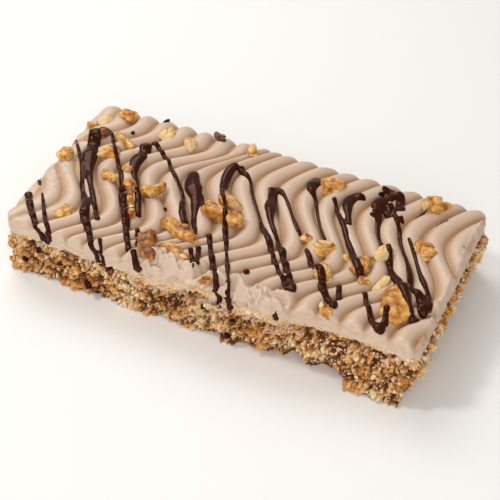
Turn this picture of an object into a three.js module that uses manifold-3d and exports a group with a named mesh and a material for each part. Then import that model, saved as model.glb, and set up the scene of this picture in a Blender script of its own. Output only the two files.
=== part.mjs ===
// Fudge slice: an oblong bakery slice with a crumbly oat base, a layer of combed fudge icing
// with a dark chocolate drizzle fused to it, and pieces of walnut pressed into the top.
// Millimetres, +Z up, the long side along X and the cut front at -Y. The origin is the middle
// of the underside.

import * as THREE from 'three';
import { mergeVertices } from 'three/addons/utils/BufferGeometryUtils.js';
import { ImprovedNoise } from 'three/addons/math/ImprovedNoise.js';
import Module from 'manifold-3d';

// ---------------------------------------------------------------- driving dimensions

const SLICE_LENGTH = 185;          // along X, half way between front and back
const SLICE_WIDTH = 92;            // along Y, half way between the ends
const END_SKEW = 2.1;              // how far the left end slants off square, at front and back
const SIDE_SKEW = 0.9;             // how far the long sides slant off square, at the ends
const CORNER_RADIUS = 5;
const RIGHT_TRIM = 0.4;            // the icing's right end stands in by this at its foot
const RIGHT_LEAN = 1.4;            // and by this more at the crests
const CUT_BACK = [                 // the icing's front edge was cut back between these along X
  { from: 35, to: 50, by: 4.2 },
  { from: 78, to: 90, by: -1.3 },
];

const BASE_HEIGHT = 21.2;
const BASE_INSET = { front: 0.3, back: 1, left: 0.3, right: -1.9 };   // from the slice's plan
const FOOT_SETBACK = { front: 0, back: 1.5, left: -1.6, right: 5.5 };   // of the base, from its top
const FRONT_FOOT = [               // how the front foot steps in and out along X
  { from: -5, to: 10, by: 1.5 },
  { from: 46, to: 50, by: -1.5 },
];
const FRONT_BULGE = { from: 58, to: 66, by: -1.3 };     // the chunk at the right stands out
const BRIM_ROUND = 1.2;            // the top edge of the base is worn back by this
const BRIM_HEIGHT = 17;            // from here up, where the base has a ledge below the icing
const CRAG_DEPTH = 1.9;            // relief of the crumbled sides
const CRAG_SPACING = 4.2;          // between the points that carry the relief
const BASE_LEVELS = 5;             // rings of points up the sides

const JOIN_GAP = 0.3;              // clear space between touching pieces
const ICING_SLIVER = 0.03;         // steps in a cut surface that are finer than this are dropped
const NUT_SLIVER = 0.1;
const BASE_SLIVER = 0.03;
const ICING_TOP = 30.9;            // crests of the combed ridges
const RIDGE_PITCH = 10;            // from crest to crest along X
const RIDGE_DEPTH = 3.3;
const RIDGE_COLUMNS = [-0.5, -0.3, 0, 0.3];   // parts of a pitch, counted from the crest
const ROW_STEP = 7.5;              // along Y
const OUTLINE_STEP = 6;            // along the edge of the icing
const EDGE_RAGGEDNESS = 0.5;
const LUMP = { height: 0.45, spacing: 19 };         // slow unevenness of the whole top
const DRAG_LUMP = { height: 0.8, spacing: 4 };      // where a knife dragged the icing
const CLEAN_CUT = [52, 60];        // along X, where the dragged front edge turns into a clean cut
const DRAG_REACH = [2, 11];        // in from the front edge
const SMEAR_REACH = [4, 16];       // in from the left edge
const EDGE_ROLL = {                // how far in each edge starts to fall, and by how much
  draggedFront: [7, 5],
  cleanFront: [3.5, 1.6],
  back: [6, 2.4],
  left: [6, 1.4],
  right: [2.5, 0.8],
};

// Pieces broken out of the foot of the base: middle in plan, and half sizes.
const FOOT_BREAKS = [
  { at: [41.7, -46], size: [5.2, 12, 10.4] },
  { at: [56, -46], size: [9.2, 12, 9.6] },
  { at: [5.5, -46], size: [4, 5, 4.6] },
  { at: [20.5, -46], size: [2.6, 4, 4.6] },
  { at: [92, -34], size: [6, 7, 6] },
];
const FOOT_BREAK_DROP = 0.7;       // their middles lie this far below the underside

const STRAND_SIDES = 5;
const STRAND_STEP = 6;
const STRAND_RISE = 0.42;          // height of a strand above the icing, as a part of its width
const STRAND_SINK = 2.6;           // how deep its underside lies in the icing
const STRAND_END = 0.6;            // width of its ends, as a part of its stated width

const NUT_CLEARANCE = 0.35;        // between walnut and icing, drizzle or another walnut
const NUT_SUNK = 0.22;             // part of its height by which a walnut piece sits in
const NUT_LOBES = { depth: 0.3, pitch: 2.1 };
const FINE_NUT_LENGTH = 15;        // pieces longer than this get finer facets

// The comb's sideways swings: the turning points of every ridge from back to front, as the
// Y of the turn and how far the ridge is swung there along X. They change along the slice.
const COMB_STATIONS = [
  { x: -70, turns: [[38, 9], [5, -9.5], [-25, 9], [-55, -6]] },
  { x: -38, turns: [[37, 9], [9, -9.5], [-23, 8.5], [-48, -8]] },
  { x: 5, turns: [[64, 8], [22.5, -10.3], [-12, 6.3], [-38, -12.5]] },
  { x: 85, turns: [[62, 5], [19.5, -12.7], [-13, 2.5], [-39, -15]] },
];

// The thick drizzle. Each strand is a run of points [x, y, width]; a y past the front edge
// means that the strand hangs down the front by what is over.
const STRANDS = [
  // left end
  [[-90.5, -27.5, 3], [-85.5, -34, 3], [-80.5, -41, 3.2], [-75, -46, 3], [-71, -52, 3.4]],
  [[-92.5, 15, 1], [-83.5, 4, 1.6], [-73.5, -10, 2.4], [-63.5, -23, 3.5], [-60.5, -30, 3.5],
    [-53.5, -38, 2.6], [-47.5, -46, 2.4], [-45, -53, 2]],
  [[-86.5, 23, 4], [-83.5, 17, 5], [-81.5, 11, 5.5], [-78.5, 4, 6], [-75.5, -1, 4],
    [-70.5, -9, 2.6], [-63.5, -18, 2], [-52, -32.5, 2]],
  [[-71.5, 14, 1.6], [-66.5, 8, 1.8], [-60.5, 1, 2], [-51.5, -13, 3], [-42.5, -26, 3],
    [-38.5, -33, 2.5], [-31.5, -43, 2.4]],
  [[-30, -42, 2.2], [-27, -47, 2.6], [-26, -52, 3]],
  [[-60.5, 26, 3], [-58.5, 17, 5], [-58.5, 10, 5], [-55.5, 3, 3], [-46.5, -9, 2.5],
    [-38.5, -23, 2.4]],
  [[-59.6, 25.3, 3], [-55.5, 25.5, 2], [-47.5, 19, 1.6], [-38.5, 9, 1.8], [-29.5, 0, 2],
    [-26.5, -7, 2.6], [-21.5, -15, 3], [-16.5, -21, 2.4]],
  // middle
  [[-35.5, 14.5, 3], [-31.5, 14, 4], [-29.5, 8, 5.5], [-26.5, 4, 6.5], [-23.5, 0, 4.5],
    [-19.5, -8, 3], [-16.5, -15, 2.4], [-10.5, -25, 1.2]],
  [[-8.5, -17, 2.4], [-4.5, -24, 2], [2.5, -35, 2.4], [6.5, -41, 2], [8.5, -46, 2.2],
    [9.5, -53, 1.8]],
  [[-16, 28.5, 3], [-18, 24, 3.6], [-18, 19, 3.8], [-16, 12, 3.5], [-10.5, 0, 1.6],
    [-4.5, -10, 1.8], [-1.5, -16, 2.2], [4.5, -27, 1.2], [8.5, -34, 1.8], [12.5, -46, 1.8],
    [12.5, -53, 1.6]],
  [[-15.3, 27.8, 3], [-11.5, 23, 2.6], [-4.5, 15, 1.6], [4.5, 3, 2], [10.5, -4, 2.8],
    [20.5, -19, 3], [25.5, -27, 2.6]],
  [[3, 22.5, 3.6], [5.5, 15, 5.5], [8.5, 7, 4.4], [11.5, 0, 2.6], [16.5, -7, 1.8],
    [23.5, -17, 3], [28.5, -23, 3.6], [32.5, -31, 4], [37, -39.5, 4]],
  [[3.5, 22, 3.4], [10.5, 16.5, 1.6], [20.5, 3.5, 1.6], [25.5, -2.5, 2], [28.5, -5.5, 1.6]],
  [[-10.5, -31, 1.8], [-7.5, -36, 1.8], [-4.5, -41, 2.6]],
  // right end
  [[18.5, 37, 5], [18.5, 30, 5.5], [19, 25, 3.4], [26.5, 15, 1.6], [37.5, -1.5, 1.3]],
  [[29.5, 25, 2], [32.5, 21, 1.6], [41.5, 8, 2.2], [49.5, -4, 2.6], [57.5, -16, 3],
    [60.5, -20, 1.8]],
  [[43.5, 28.5, 1.4], [39.5, 30, 4], [36.5, 26, 5], [37.5, 21, 4], [41.5, 12.5, 2],
    [43.5, 9.5, 1.6]],
  [[31.5, -9, 1.6], [35.5, -15, 2.2], [44.5, -24, 2.8], [47.5, -30, 3], [51.5, -34, 2.6],
    [55.5, -36, 3.2], [55, -40, 2]],
  [[45, 38.5, 3], [48.5, 42, 3.5], [52.5, 42, 4], [57, 39, 3]],
  [[48.5, 40, 5], [48.5, 35, 6], [48.5, 28, 6], [51.5, 22, 3], [53.5, 15, 3], [57.5, 7, 1.8],
    [61.5, 4, 1.8], [69.5, -10, 2.8], [74.5, -16, 3.5], [78.5, -22, 3.2], [83.5, -29, 1.8],
    [87.5, -34, 4.5]],
  [[53.5, 39, 3.6], [56.5, 33, 4.5], [57, 26, 6], [59.5, 21, 1.8], [63.5, 16, 2.2],
    [67.5, 8, 1.8], [74.5, -6, 2.8], [78.5, -14, 2.6], [83.5, -18, 3.4], [87, -24, 4.4]],
  [[49.3, 30.4, 4.5], [53, 29, 4.5], [56.4, 28.7, 4.5]],
  [[62, -23.5, 2.2], [68.5, -34, 2.2], [72.5, -39, 2], [75.5, -42, 3.4]],
  [[74, -30, 2.4], [75.5, -35, 2], [76, -41, 3]],
  [[-63.5, 44, 4], [-59.5, 43.5, 5]],
];

// Walnut pieces: middle, length, width and height in millimetres, heading in degrees, and how
// far the piece is curved like a crescent.
const WALNUTS = [
  { at: [-79, 39.5], size: [9.5, 8, 5], heading: 20, curve: 0.2 },
  { at: [-87.5, 32], size: [9, 6, 3.5], heading: 60, curve: 0 },
  { at: [-89, 0.5], size: [8, 7, 5], heading: 40, curve: 0.2 },
  { at: [-71, 21.5], size: [14, 5, 4.5], heading: -35, curve: 0.2 },
  { at: [-71.5, 11], size: [11, 9, 6], heading: 70, curve: 0.3 },
  { at: [-82.5, 21.5], size: [9, 8, 4.5], heading: 0, curve: 0.3 },
  { at: [-68, -33], size: [10, 8, 5.5], heading: -50, curve: 0.4 },
  { at: [-63.5, -4.5], size: [9, 5, 4.5], heading: -15, curve: 0 },
  { at: [-51, -7.5], size: [8.5, 7, 5], heading: -50, curve: 0.2 },
  { at: [-47, -15.5], size: [8.5, 7, 5], heading: -60, curve: 0.3 },
  { at: [-43.5, -22.5], size: [8, 6, 4.5], heading: -45, curve: 0 },
  { at: [-40.5, -5], size: [11, 7, 6], heading: 25, curve: 0.7 },
  { at: [-19.5, -23.5], size: [20, 7, 6.5], heading: -22, curve: 0.2 },
  { at: [-15.5, -34.5], size: [17, 6.5, 6], heading: -22, curve: 0.2 },
  { at: [-26, -38], size: [16, 7.5, 6.5], heading: -52, curve: 0.3 },
  { at: [-8.5, 2], size: [13, 8.5, 6.5], heading: -15, curve: 0.4 },
  { at: [-5.5, -8.5], size: [20, 7, 7], heading: -8, curve: -0.45 },
  { at: [-55.5, 34.5], size: [10.5, 7.5, 5], heading: -70, curve: 0.1 },
  { at: [-42.5, 31.5], size: [9.5, 5.5, 4], heading: -60, curve: 0 },
  { at: [-14.5, 38.5], size: [8, 6, 4.5], heading: -50, curve: 0.2 },
  { at: [27, 31.5], size: [12, 8.5, 6.5], heading: 10, curve: 0.3 },
  { at: [38.5, -7], size: [12, 8.5, 6], heading: 20, curve: 0.3 },
  { at: [45, -23.5], size: [10, 8, 5.5], heading: -60, curve: 0.3 },
  { at: [57, -12], size: [12, 8, 5.5], heading: -65, curve: 0.3 },
  { at: [61.5, -1.5], size: [10.5, 6, 4.5], heading: 75, curve: 0.3 },
  { at: [67.5, -16.5], size: [10, 4.5, 4.5], heading: 75, curve: 0.6 },
  { at: [76.5, -26.5], size: [19, 11, 6], heading: -64, curve: 0 },
  { at: [71.5, 37.5], size: [12, 9, 8], heading: 10, curve: 0.3 },
  { at: [76, 9.5], size: [11, 8.5, 6.5], heading: -20, curve: 0.6 },
  { at: [54.5, -40], size: [7, 5, 4], heading: 60, curve: 0.1 },
  { at: [-33.5, 42.5], size: [9, 4, 3.5], heading: -35, curve: 0.4 },
];

// ---------------------------------------------------------------- worked-out sizes

const HALF_LENGTH = SLICE_LENGTH / 2;
const HALF_WIDTH = SLICE_WIDTH / 2;
const ICING_FLOOR = BASE_HEIGHT + JOIN_GAP;

const wasm = await Module();
wasm.setup();
const perlin = new ImprovedNoise();

// ---------------------------------------------------------------- small helpers

const { clamp, lerp, smoothstep, degToRad } = THREE.MathUtils;

function toSolid(geometry) {
  geometry.deleteAttribute('normal');
  geometry.deleteAttribute('uv');
  const merged = mergeVertices(geometry, 1e-4);
  const vertProperties = new Float32Array(merged.attributes.position.array);
  const triVerts = new Uint32Array(merged.index.array);
  return new wasm.Manifold(new wasm.Mesh({ numProp: 3, vertProperties, triVerts }));
}

function toGeometry(solid) {
  const mesh = solid.getMesh();
  const geometry = new THREE.BufferGeometry();
  geometry.setAttribute('position', new THREE.BufferAttribute(mesh.vertProperties, 3));
  geometry.setIndex(new THREE.BufferAttribute(mesh.triVerts, 1));
  geometry.computeVertexNormals();
  return geometry;
}

// The biggest body of a solid, without the scraps, slivers and sealed pockets of a cut.
function cleanBody(solid, sliver) {
  const bodies = solid.asOriginal().simplify(sliver).decompose();
  bodies.sort((a, b) => b.volume() - a.volume());
  return bodies[0];
}

// Calls move(point) for every corner of a geometry and keeps what it does to the point.
function moveCorners(geometry, move) {
  const position = geometry.attributes.position;
  const point = new THREE.Vector3();
  for (let i = 0; i < position.count; i += 1) {
    point.fromBufferAttribute(position, i);
    move(point);
    position.setXYZ(i, point.x, point.y, point.z);
  }
  return geometry;
}

// Carries a square-cut plan onto the slice's slanting left end and sides.
function skew(point) {
  const across = point.y / HALF_WIDTH;
  const along = point.x / HALF_LENGTH;
  point.x -= END_SKEW * across * (1 - along) / 2;
  point.y -= SIDE_SKEW * along;
}

// Sums steps that come in one after another along X.
function stepped(x, steps) {
  return steps.reduce((sum, { from, to, by }) => sum + by * smoothstep(x, from, to), 0);
}

// How much a point of a square-cut plan belongs to the side in one direction, from 0 to 1.
function sideWeight(position, half, power) {
  return Math.max(0, position / half) ** power;
}

// A rectangle with round corners, stepped so that its sides can carry relief.
function slabOutline(halfLength, halfWidth, radius, step) {
  const x = halfLength - radius;
  const y = halfWidth - radius;
  const corners = [[x, -y, -90], [x, y, 0], [-x, y, 90], [-x, -y, 180]];
  const arcs = corners.map(([cx, cy, start]) => {
    const from = degToRad(start);
    return new THREE.EllipseCurve(cx, cy, radius, radius, from, from + Math.PI / 2);
  });
  const points = [];
  arcs.forEach((arc, i) => {
    points.push(...arc.getPoints(Math.ceil(radius * 1.5 / step)));
    const next = arcs[(i + 1) % arcs.length].getPoint(0);
    const last = points.at(-1);
    const count = Math.round(last.distanceTo(next) / step);
    for (let k = 1; k < count; k += 1) points.push(last.clone().lerp(next, k / count));
  });
  return new THREE.Shape(points);
}

// ---------------------------------------------------------------- combed icing

// Where the comb had swung to along X at a place on the slice.
function combSwing(x, y) {
  let k = COMB_STATIONS.length - 2;
  while (k > 0 && x < COMB_STATIONS[k].x) k -= 1;
  const before = COMB_STATIONS[k];
  const after = COMB_STATIONS[k + 1];
  const blend = smoothstep(x, before.x, after.x);
  const turns = before.turns.map(([turnY, swing], i) => [
    lerp(turnY, after.turns[i][0], blend),
    lerp(swing, after.turns[i][1], blend),
  ]);
  if (y >= turns[0][0]) return turns[0][1];
  for (let i = 0; i < turns.length - 1; i += 1) {
    const [startY, startSwing] = turns[i];
    const [endY, endSwing] = turns[i + 1];
    if (y > endY) {
      const ease = 0.5 - 0.5 * Math.cos(Math.PI * (startY - y) / (startY - endY));
      return lerp(startSwing, endSwing, ease);
    }
  }
  return turns.at(-1)[1];
}

// The straight-comb position of the ridge that passes through a place.
function unswung(x, y) {
  let straight = x;
  for (let i = 0; i < 12; i += 1) straight = 0.5 * (straight + x - combSwing(straight, y));
  return straight;
}

// Distances in from the front, back, left and right edges of the icing.
function edgeDistances(x, y) {
  const slant = END_SKEW * y / HALF_WIDTH / 2;
  const squareX = (x + slant) / (1 + slant / HALF_LENGTH);
  const squareY = y + SIDE_SKEW * x / HALF_LENGTH;
  return {
    front: HALF_WIDTH + squareY - stepped(x, CUT_BACK),
    back: HALF_WIDTH - squareY,
    left: HALF_LENGTH + squareX,
    right: HALF_LENGTH - RIGHT_TRIM - RIGHT_LEAN - squareX,
  };
}

// The icing falls away towards an edge by the drop, over the reach.
function rollOff(distance, [reach, drop]) {
  const t = clamp(1 - distance / reach, 0, 1.4);
  return drop * t * t;
}

// Height of the icing above the floor. The ridges fade where a knife has dragged the icing
// along the front, and on the smeared left end.
function icingHeight(x, y) {
  const edge = edgeDistances(x, y);
  const part = unswung(x, y) / RIDGE_PITCH;
  const fromCrest = part - Math.round(part);
  const groove = 1 - Math.pow(Math.abs(Math.cos(Math.PI * fromCrest)), 0.7);
  const cleanCut = smoothstep(x, ...CLEAN_CUT);
  const dragged = (1 - smoothstep(edge.front, ...DRAG_REACH)) * (1 - cleanCut);
  const smeared = 1 - smoothstep(edge.left, ...SMEAR_REACH);
  const depth = RIDGE_DEPTH * (1 - 0.75 * dragged) * (1 - 0.6 * smeared);
  const slow = LUMP.height * perlin.noise(x / LUMP.spacing, y / LUMP.spacing, 3.7);
  const quick = dragged * perlin.noise(x / DRAG_LUMP.spacing, y / DRAG_LUMP.spacing, 8.1);
  const draggedRoll = rollOff(edge.front, EDGE_ROLL.draggedFront);
  const cleanRoll = rollOff(edge.front, EDGE_ROLL.cleanFront);
  return ICING_TOP - depth * groove + slow + DRAG_LUMP.height * quick
    - lerp(draggedRoll, cleanRoll, cleanCut) - rollOff(edge.back, EDGE_ROLL.back)
    - rollOff(edge.left, EDGE_ROLL.left) - rollOff(edge.right, EDGE_ROLL.right);
}

// The icing before the drizzle: a block whose columns run along the ridges, cut to the plan.
function makeIcingCore() {
  const reach = HALF_LENGTH + 16;
  const firstRidge = -Math.ceil(reach / RIDGE_PITCH);
  const straights = [];
  for (let ridge = firstRidge; ridge <= -firstRidge; ridge += 1) {
    RIDGE_COLUMNS.forEach((part) => straights.push((ridge + part) * RIDGE_PITCH));
  }
  const columns = straights.length - 1;
  const depth = SLICE_WIDTH + 2 * SIDE_SKEW + 4;
  const rows = Math.round(depth / ROW_STEP);
  const block = new THREE.BoxGeometry(1, depth, 1, columns, rows, 1);
  moveCorners(block, (point) => {
    const straight = straights[Math.round((point.x + 0.5) * columns)];
    point.x = straight + combSwing(straight, point.y);
    point.z = point.z > 0 ? icingHeight(point.x, point.y) : ICING_FLOOR - 1;
  });

  const outline = slabOutline(HALF_LENGTH, HALF_WIDTH, CORNER_RADIUS, OUTLINE_STEP);
  const aboveCrests = ICING_TOP - ICING_FLOOR + 5;
  const plan = new THREE.ExtrudeGeometry(outline, {
    depth: aboveCrests,
    steps: 2,
    bevelEnabled: false,
  });
  moveCorners(plan, (point) => {
    const noise = perlin.noise(point.x / 11, point.y / 11, point.z / 9);
    const ragged = EDGE_RAGGEDNESS * (noise - 1);
    const rightwards = sideWeight(point.x, HALF_LENGTH, 28);
    const frontwards = sideWeight(-point.y, HALF_WIDTH, 14);
    const lean = RIGHT_LEAN * point.z / (ICING_TOP - ICING_FLOOR);
    point.x += ragged * Math.sign(point.x) * (Math.abs(point.x) > HALF_LENGTH - 2);
    point.y += ragged * Math.sign(point.y) * (Math.abs(point.y) > HALF_WIDTH - 2);
    point.x -= rightwards * (RIGHT_TRIM + lean);
    point.y += frontwards * stepped(point.x, CUT_BACK);
    skew(point);
    point.z += ICING_FLOOR;
  });
  return toSolid(block).asOriginal().intersect(toSolid(plan).asOriginal());
}

// Where a strand lies: on the icing, or past the front edge, down its cut face.
function restingPlace(x, y) {
  const overhang = -edgeDistances(x, y).front - 0.1;
  if (overhang <= 0) return new THREE.Vector3(x, y, icingHeight(x, y));
  const top = icingHeight(x, y + overhang);
  return new THREE.Vector3(x, y + overhang, Math.max(top - overhang, ICING_FLOOR + 0.6));
}

// One strand of drizzle: a closed tube bent along its run, wide where it pooled.
function makeStrand(points) {
  const run = new THREE.CatmullRomCurve3(points.map(([x, y]) => new THREE.Vector3(x, y, 0)));
  const widths = new THREE.CatmullRomCurve3(points.map(([, , w]) => new THREE.Vector3(w, 0, 0)));
  const steps = Math.max(2, Math.round(run.getLength() / STRAND_STEP));
  const tube = new THREE.CylinderGeometry(1, 1, 1, STRAND_SIDES, steps);
  return toSolid(moveCorners(tube, (point) => {
    const t = clamp(point.y + 0.5, 0, 1);
    const here = run.getPoint(t);
    const ahead = run.getTangent(t);
    const width = widths.getPoint(t).x * (t === 0 || t === 1 ? STRAND_END : 1);
    const lie = restingPlace(here.x, here.y);
    const overFront = smoothstep(-edgeDistances(here.x, here.y).front, -1, 2);
    const sideways = point.x * width / 2;
    const rise = point.z * width * STRAND_RISE - (point.z < 0 ? STRAND_SINK : 0);
    point.x = lie.x + ahead.y * sideways;
    point.y = lie.y - ahead.x * sideways * (1 - overFront) - rise * overFront;
    point.z = lie.z + rise * (1 - overFront);
  }));
}

// ---------------------------------------------------------------- walnut pieces

// A lumpy piece of walnut as it lies before it is pressed in, grown all round by a clearance.
function makeNutLump({ at, size, heading, curve }, clearance) {
  const [length, width, height] = size;
  const lump = new THREE.IcosahedronGeometry(1, length > FINE_NUT_LENGTH ? 2 : 1);
  const turn = degToRad(heading);
  const [centreX, centreY] = at;
  const bed = icingHeight(centreX, centreY);
  return toSolid(moveCorners(lump, (point) => {
    const spot = point.clone().multiplyScalar(NUT_LOBES.pitch);
    const lobes = 1 + NUT_LOBES.depth * perlin.noise(spot.x + centreX, spot.y + centreY, spot.z);
    const bow = curve * width * (point.x * point.x - 0.4);
    const along = point.x * (length / 2 * lobes + clearance);
    const across = point.y * (width / 2 * lobes + clearance) + bow;
    const up = point.z * (height / 2 * lobes + clearance);
    point.x = centreX + along * Math.cos(turn) - across * Math.sin(turn);
    point.y = centreY + along * Math.sin(turn) + across * Math.cos(turn);
    point.z = bed + up + height * (0.5 - NUT_SUNK);
  }));
}

// ---------------------------------------------------------------- oat base

// How far the crumbled side stands in at a place, for its relief alone.
function cragInset({ x, y, z }) {
  const coarse = perlin.noise(x / 9, y / 9, z / 7);
  const fine = perlin.noise(x / 3.7, y / 3.7, z / 3.1 + 20);
  return -CRAG_DEPTH * (0.9 * coarse + 0.7 * fine);
}

// A lumpy hollow where a piece of the base has broken away at its foot.
function makeFootBreak({ at, size }) {
  const [halfX, halfY, halfZ] = size;
  return toSolid(moveCorners(new THREE.IcosahedronGeometry(1, 2), (point) => {
    const lump = 1 + 0.35 * perlin.noise(2.3 * point.x + at[0], 2.3 * point.y, 2.3 * point.z);
    point.x = at[0] + point.x * halfX * lump;
    point.y = at[1] + point.y * halfY * lump;
    point.z = point.z * halfZ * lump - FOOT_BREAK_DROP;
  }));
}

function makeBase() {
  const outline = slabOutline(HALF_LENGTH, HALF_WIDTH, CORNER_RADIUS, CRAG_SPACING);
  const slab = new THREE.ExtrudeGeometry(outline, {
    depth: BASE_HEIGHT,
    steps: BASE_LEVELS,
    bevelEnabled: false,
  });
  moveCorners(slab, (point) => {
    const outwards = new THREE.Vector2(
      Math.sign(point.x) * sideWeight(Math.abs(point.x), HALF_LENGTH, 28),
      Math.sign(point.y) * sideWeight(Math.abs(point.y), HALF_WIDTH, 14),
    ).normalize();
    const low = (1 - point.z / BASE_HEIGHT) ** 2;
    const brim = smoothstep(point.z, BRIM_HEIGHT, BASE_HEIGHT);
    const endX = point.x > 0 ? 'right' : 'left';
    const endY = point.y > 0 ? 'back' : 'front';
    const worn = cragInset(point) + BRIM_ROUND * brim;
    let insetY = BASE_INSET[endY] + FOOT_SETBACK[endY] * low;
    if (endY === 'front') {
      insetY += stepped(point.x, FRONT_FOOT) * low + stepped(point.x, [FRONT_BULGE]);
      insetY += stepped(point.x, CUT_BACK) * smoothstep(point.z, BASE_HEIGHT - 9, BASE_HEIGHT);
    }
    point.x -= outwards.x * (worn + BASE_INSET[endX] + FOOT_SETBACK[endX] * low);
    point.y -= outwards.y * (worn + insetY) + SIDE_SKEW * point.x / HALF_LENGTH;
  });
  const breaks = wasm.Manifold.union(FOOT_BREAKS.map(makeFootBreak));
  return cleanBody(toSolid(slab).subtract(breaks), BASE_SLIVER);
}

// ---------------------------------------------------------------- the slice

const slice = new THREE.Group();

function addPiece(name, solid, color, roughness) {
  const material = new THREE.MeshStandardMaterial({ color, roughness, metalness: 0 });
  const piece = new THREE.Mesh(toGeometry(solid), material);
  piece.name = name;
  slice.add(piece);
}

addPiece('oat_base', makeBase(), 0xb98a52, 0.9);

const icingCore = makeIcingCore();
const seat = icingCore.translate([0, 0, NUT_CLEARANCE]);
const placed = [];
let drizzle = wasm.Manifold.union(STRANDS.map(makeStrand));

WALNUTS.forEach((walnut, i) => {
  let nut = makeNutLump(walnut, 0).subtract(seat);
  placed.forEach((other) => {
    nut = nut.subtract(other);
  });
  const grown = makeNutLump(walnut, NUT_CLEARANCE);
  placed.push(grown);
  drizzle = drizzle.subtract(grown);
  addPiece(`walnut_${String(i + 1).padStart(2, '0')}`, cleanBody(nut, NUT_SLIVER), 0xc68a3c, 0.55);
});

addPiece('fudge_icing', cleanBody(icingCore.add(drizzle), ICING_SLIVER), 0xd9bda3, 0.45);

export default slice;
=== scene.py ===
"""Fudge slice: oat crumb base, combed fudge icing, dark chocolate drizzle and walnut pieces.

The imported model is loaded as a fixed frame, and each of its solids is replaced by a finely
modelled piece in the same place. Shapes are worked out in millimetres, in the frame's axes
(+X along the slice, +Y to the back, +Z up), and turned to metres when they become objects.
"""

import math
import random
from functools import partial

import bmesh
import bpy
import numpy as np
from mathutils import Matrix, Vector, noise
from mathutils.bvhtree import BVHTree


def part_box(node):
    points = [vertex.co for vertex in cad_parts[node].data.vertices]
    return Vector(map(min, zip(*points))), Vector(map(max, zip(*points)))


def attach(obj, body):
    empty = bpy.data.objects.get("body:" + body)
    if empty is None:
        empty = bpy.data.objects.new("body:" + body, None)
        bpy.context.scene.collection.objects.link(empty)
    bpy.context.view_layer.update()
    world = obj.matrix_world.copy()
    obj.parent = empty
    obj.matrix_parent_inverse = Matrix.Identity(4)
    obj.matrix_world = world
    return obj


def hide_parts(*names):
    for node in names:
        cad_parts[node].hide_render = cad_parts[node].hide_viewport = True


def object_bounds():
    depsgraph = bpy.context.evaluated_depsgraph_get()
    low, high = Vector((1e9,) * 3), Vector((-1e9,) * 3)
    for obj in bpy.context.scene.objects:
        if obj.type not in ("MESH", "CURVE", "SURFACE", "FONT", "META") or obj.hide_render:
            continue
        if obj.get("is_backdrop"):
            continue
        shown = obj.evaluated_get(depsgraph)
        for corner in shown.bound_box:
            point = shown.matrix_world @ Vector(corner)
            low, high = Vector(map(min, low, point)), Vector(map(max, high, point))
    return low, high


bl_info = {
    "name": "Fudge Slice",
    "version": (1, 0, 0),
    "blender": (4, 5, 0),
    "location": "3D View > Sidebar > Fudge Slice",
    "description": "Builds a fudge slice with walnuts round its packed model",
    "category": "Add Mesh",
}

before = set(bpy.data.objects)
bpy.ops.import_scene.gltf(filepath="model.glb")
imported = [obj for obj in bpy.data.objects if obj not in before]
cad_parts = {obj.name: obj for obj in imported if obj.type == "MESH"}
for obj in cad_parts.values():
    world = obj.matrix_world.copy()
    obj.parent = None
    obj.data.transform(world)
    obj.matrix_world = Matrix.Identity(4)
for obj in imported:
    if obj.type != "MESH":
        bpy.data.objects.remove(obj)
CAD_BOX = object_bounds()

MM = 0.001

# ---- the slice's sizes, in mm

HALF_LENGTH = 92.5
HALF_WIDTH = 46.0
END_SKEW = 2.1  # how far the left end slants off square, at front and back
SIDE_SKEW = 0.9  # how far the long sides slant off square, at the ends
CORNER_RADIUS = 5.0
RIGHT_TRIM = 0.4  # the icing's right end stands in by this at its foot
RIGHT_LEAN = 0.8  # and by this more at the crests
CUT_BACK = ((35, 50, 4.2), (78, 90, -1.3))  # the icing's front: from and to along X, by how much

BASE_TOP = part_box("oat_base")[1].z / MM
BASE_INSET = {"front": 0.3, "back": 1.0, "left": 0.3, "right": -1.8}  # from the slice's plan
FOOT_SETBACK = {"front": 0.0, "back": 1.5, "left": -2.3, "right": 5.5}
FRONT_FOOT = (  # how the front foot steps in and out along X
    (-5, 8, 1.5), (8, 11, -3.0), (16, 18, 3.0), (46, 50, -1.5), (59, 65, -1.8))
FRONT_BULGE = ((58, 66, -1.3),)  # the chunk at the right stands out
CRUMB_CLIMB = ((-8, 1, 4.5), (4, 12, -3.0), (36, 46, -1.2))  # how the crumb climbs the front
HOLLOWS = (  # pieces broken out of the front: middle along X and Z, depth, half sizes
    (41.7, 0.0, 9.5, 5.0, 9.8),
    (56.0, 0.0, 8.5, 8.8, 9.0),
    (5.5, 0.0, 4.0, 3.6, 4.2),
    (20.5, 0.0, 3.4, 2.4, 4.2),
    (28.5, 0.0, 2.5, 1.8, 3.6),
    (-13.7, 12.6, 4.5, 3.4, 2.0),
    (-21.5, 13.8, 3.0, 2.4, 1.4),
    (-39.0, 10.5, 2.5, 2.2, 1.2),
    (70.5, 12.5, 3.0, 3.2, 1.6),
)
# Partly chocolate drips, partly dark pieces put in as painted shade for holes in the crumb.
CHIPS_AND_HOLE_SHADE = (  # dark chips in the front of the base: x, z, size
    (-75.0, 16.7, 3.0), (-82.7, 8.5, 3.0), (-52.0, 6.2, 4.6), (-64.5, 12.9, 2.4),
    (3.1, 16.7, 2.2), (13.9, 4.6, 3.6), (-31.0, 15.5, 2.0), (66.5, 6.5, 2.2),
    (17.4, 19.7, 2.6), (16.3, 14.0, 2.8),
)

ICING_TOP = 30.9  # crests of the combed ridges
RIDGE_PITCH = 10.0
RIDGE_DEPTH = 3.3
GROOVE_ROUNDING = 0.1  # how round the bottom of a groove is, 0 for a sharp one
TORN_FRONT = ((-36, -20), (35, 43))  # along X, where the cut front edge gets torn, and clean again
DRAG_REACH = (4.5, 12.0)  # in from the front edge
SMEAR_REACH = (5.0, 24.0)  # in from the left edge

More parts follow.
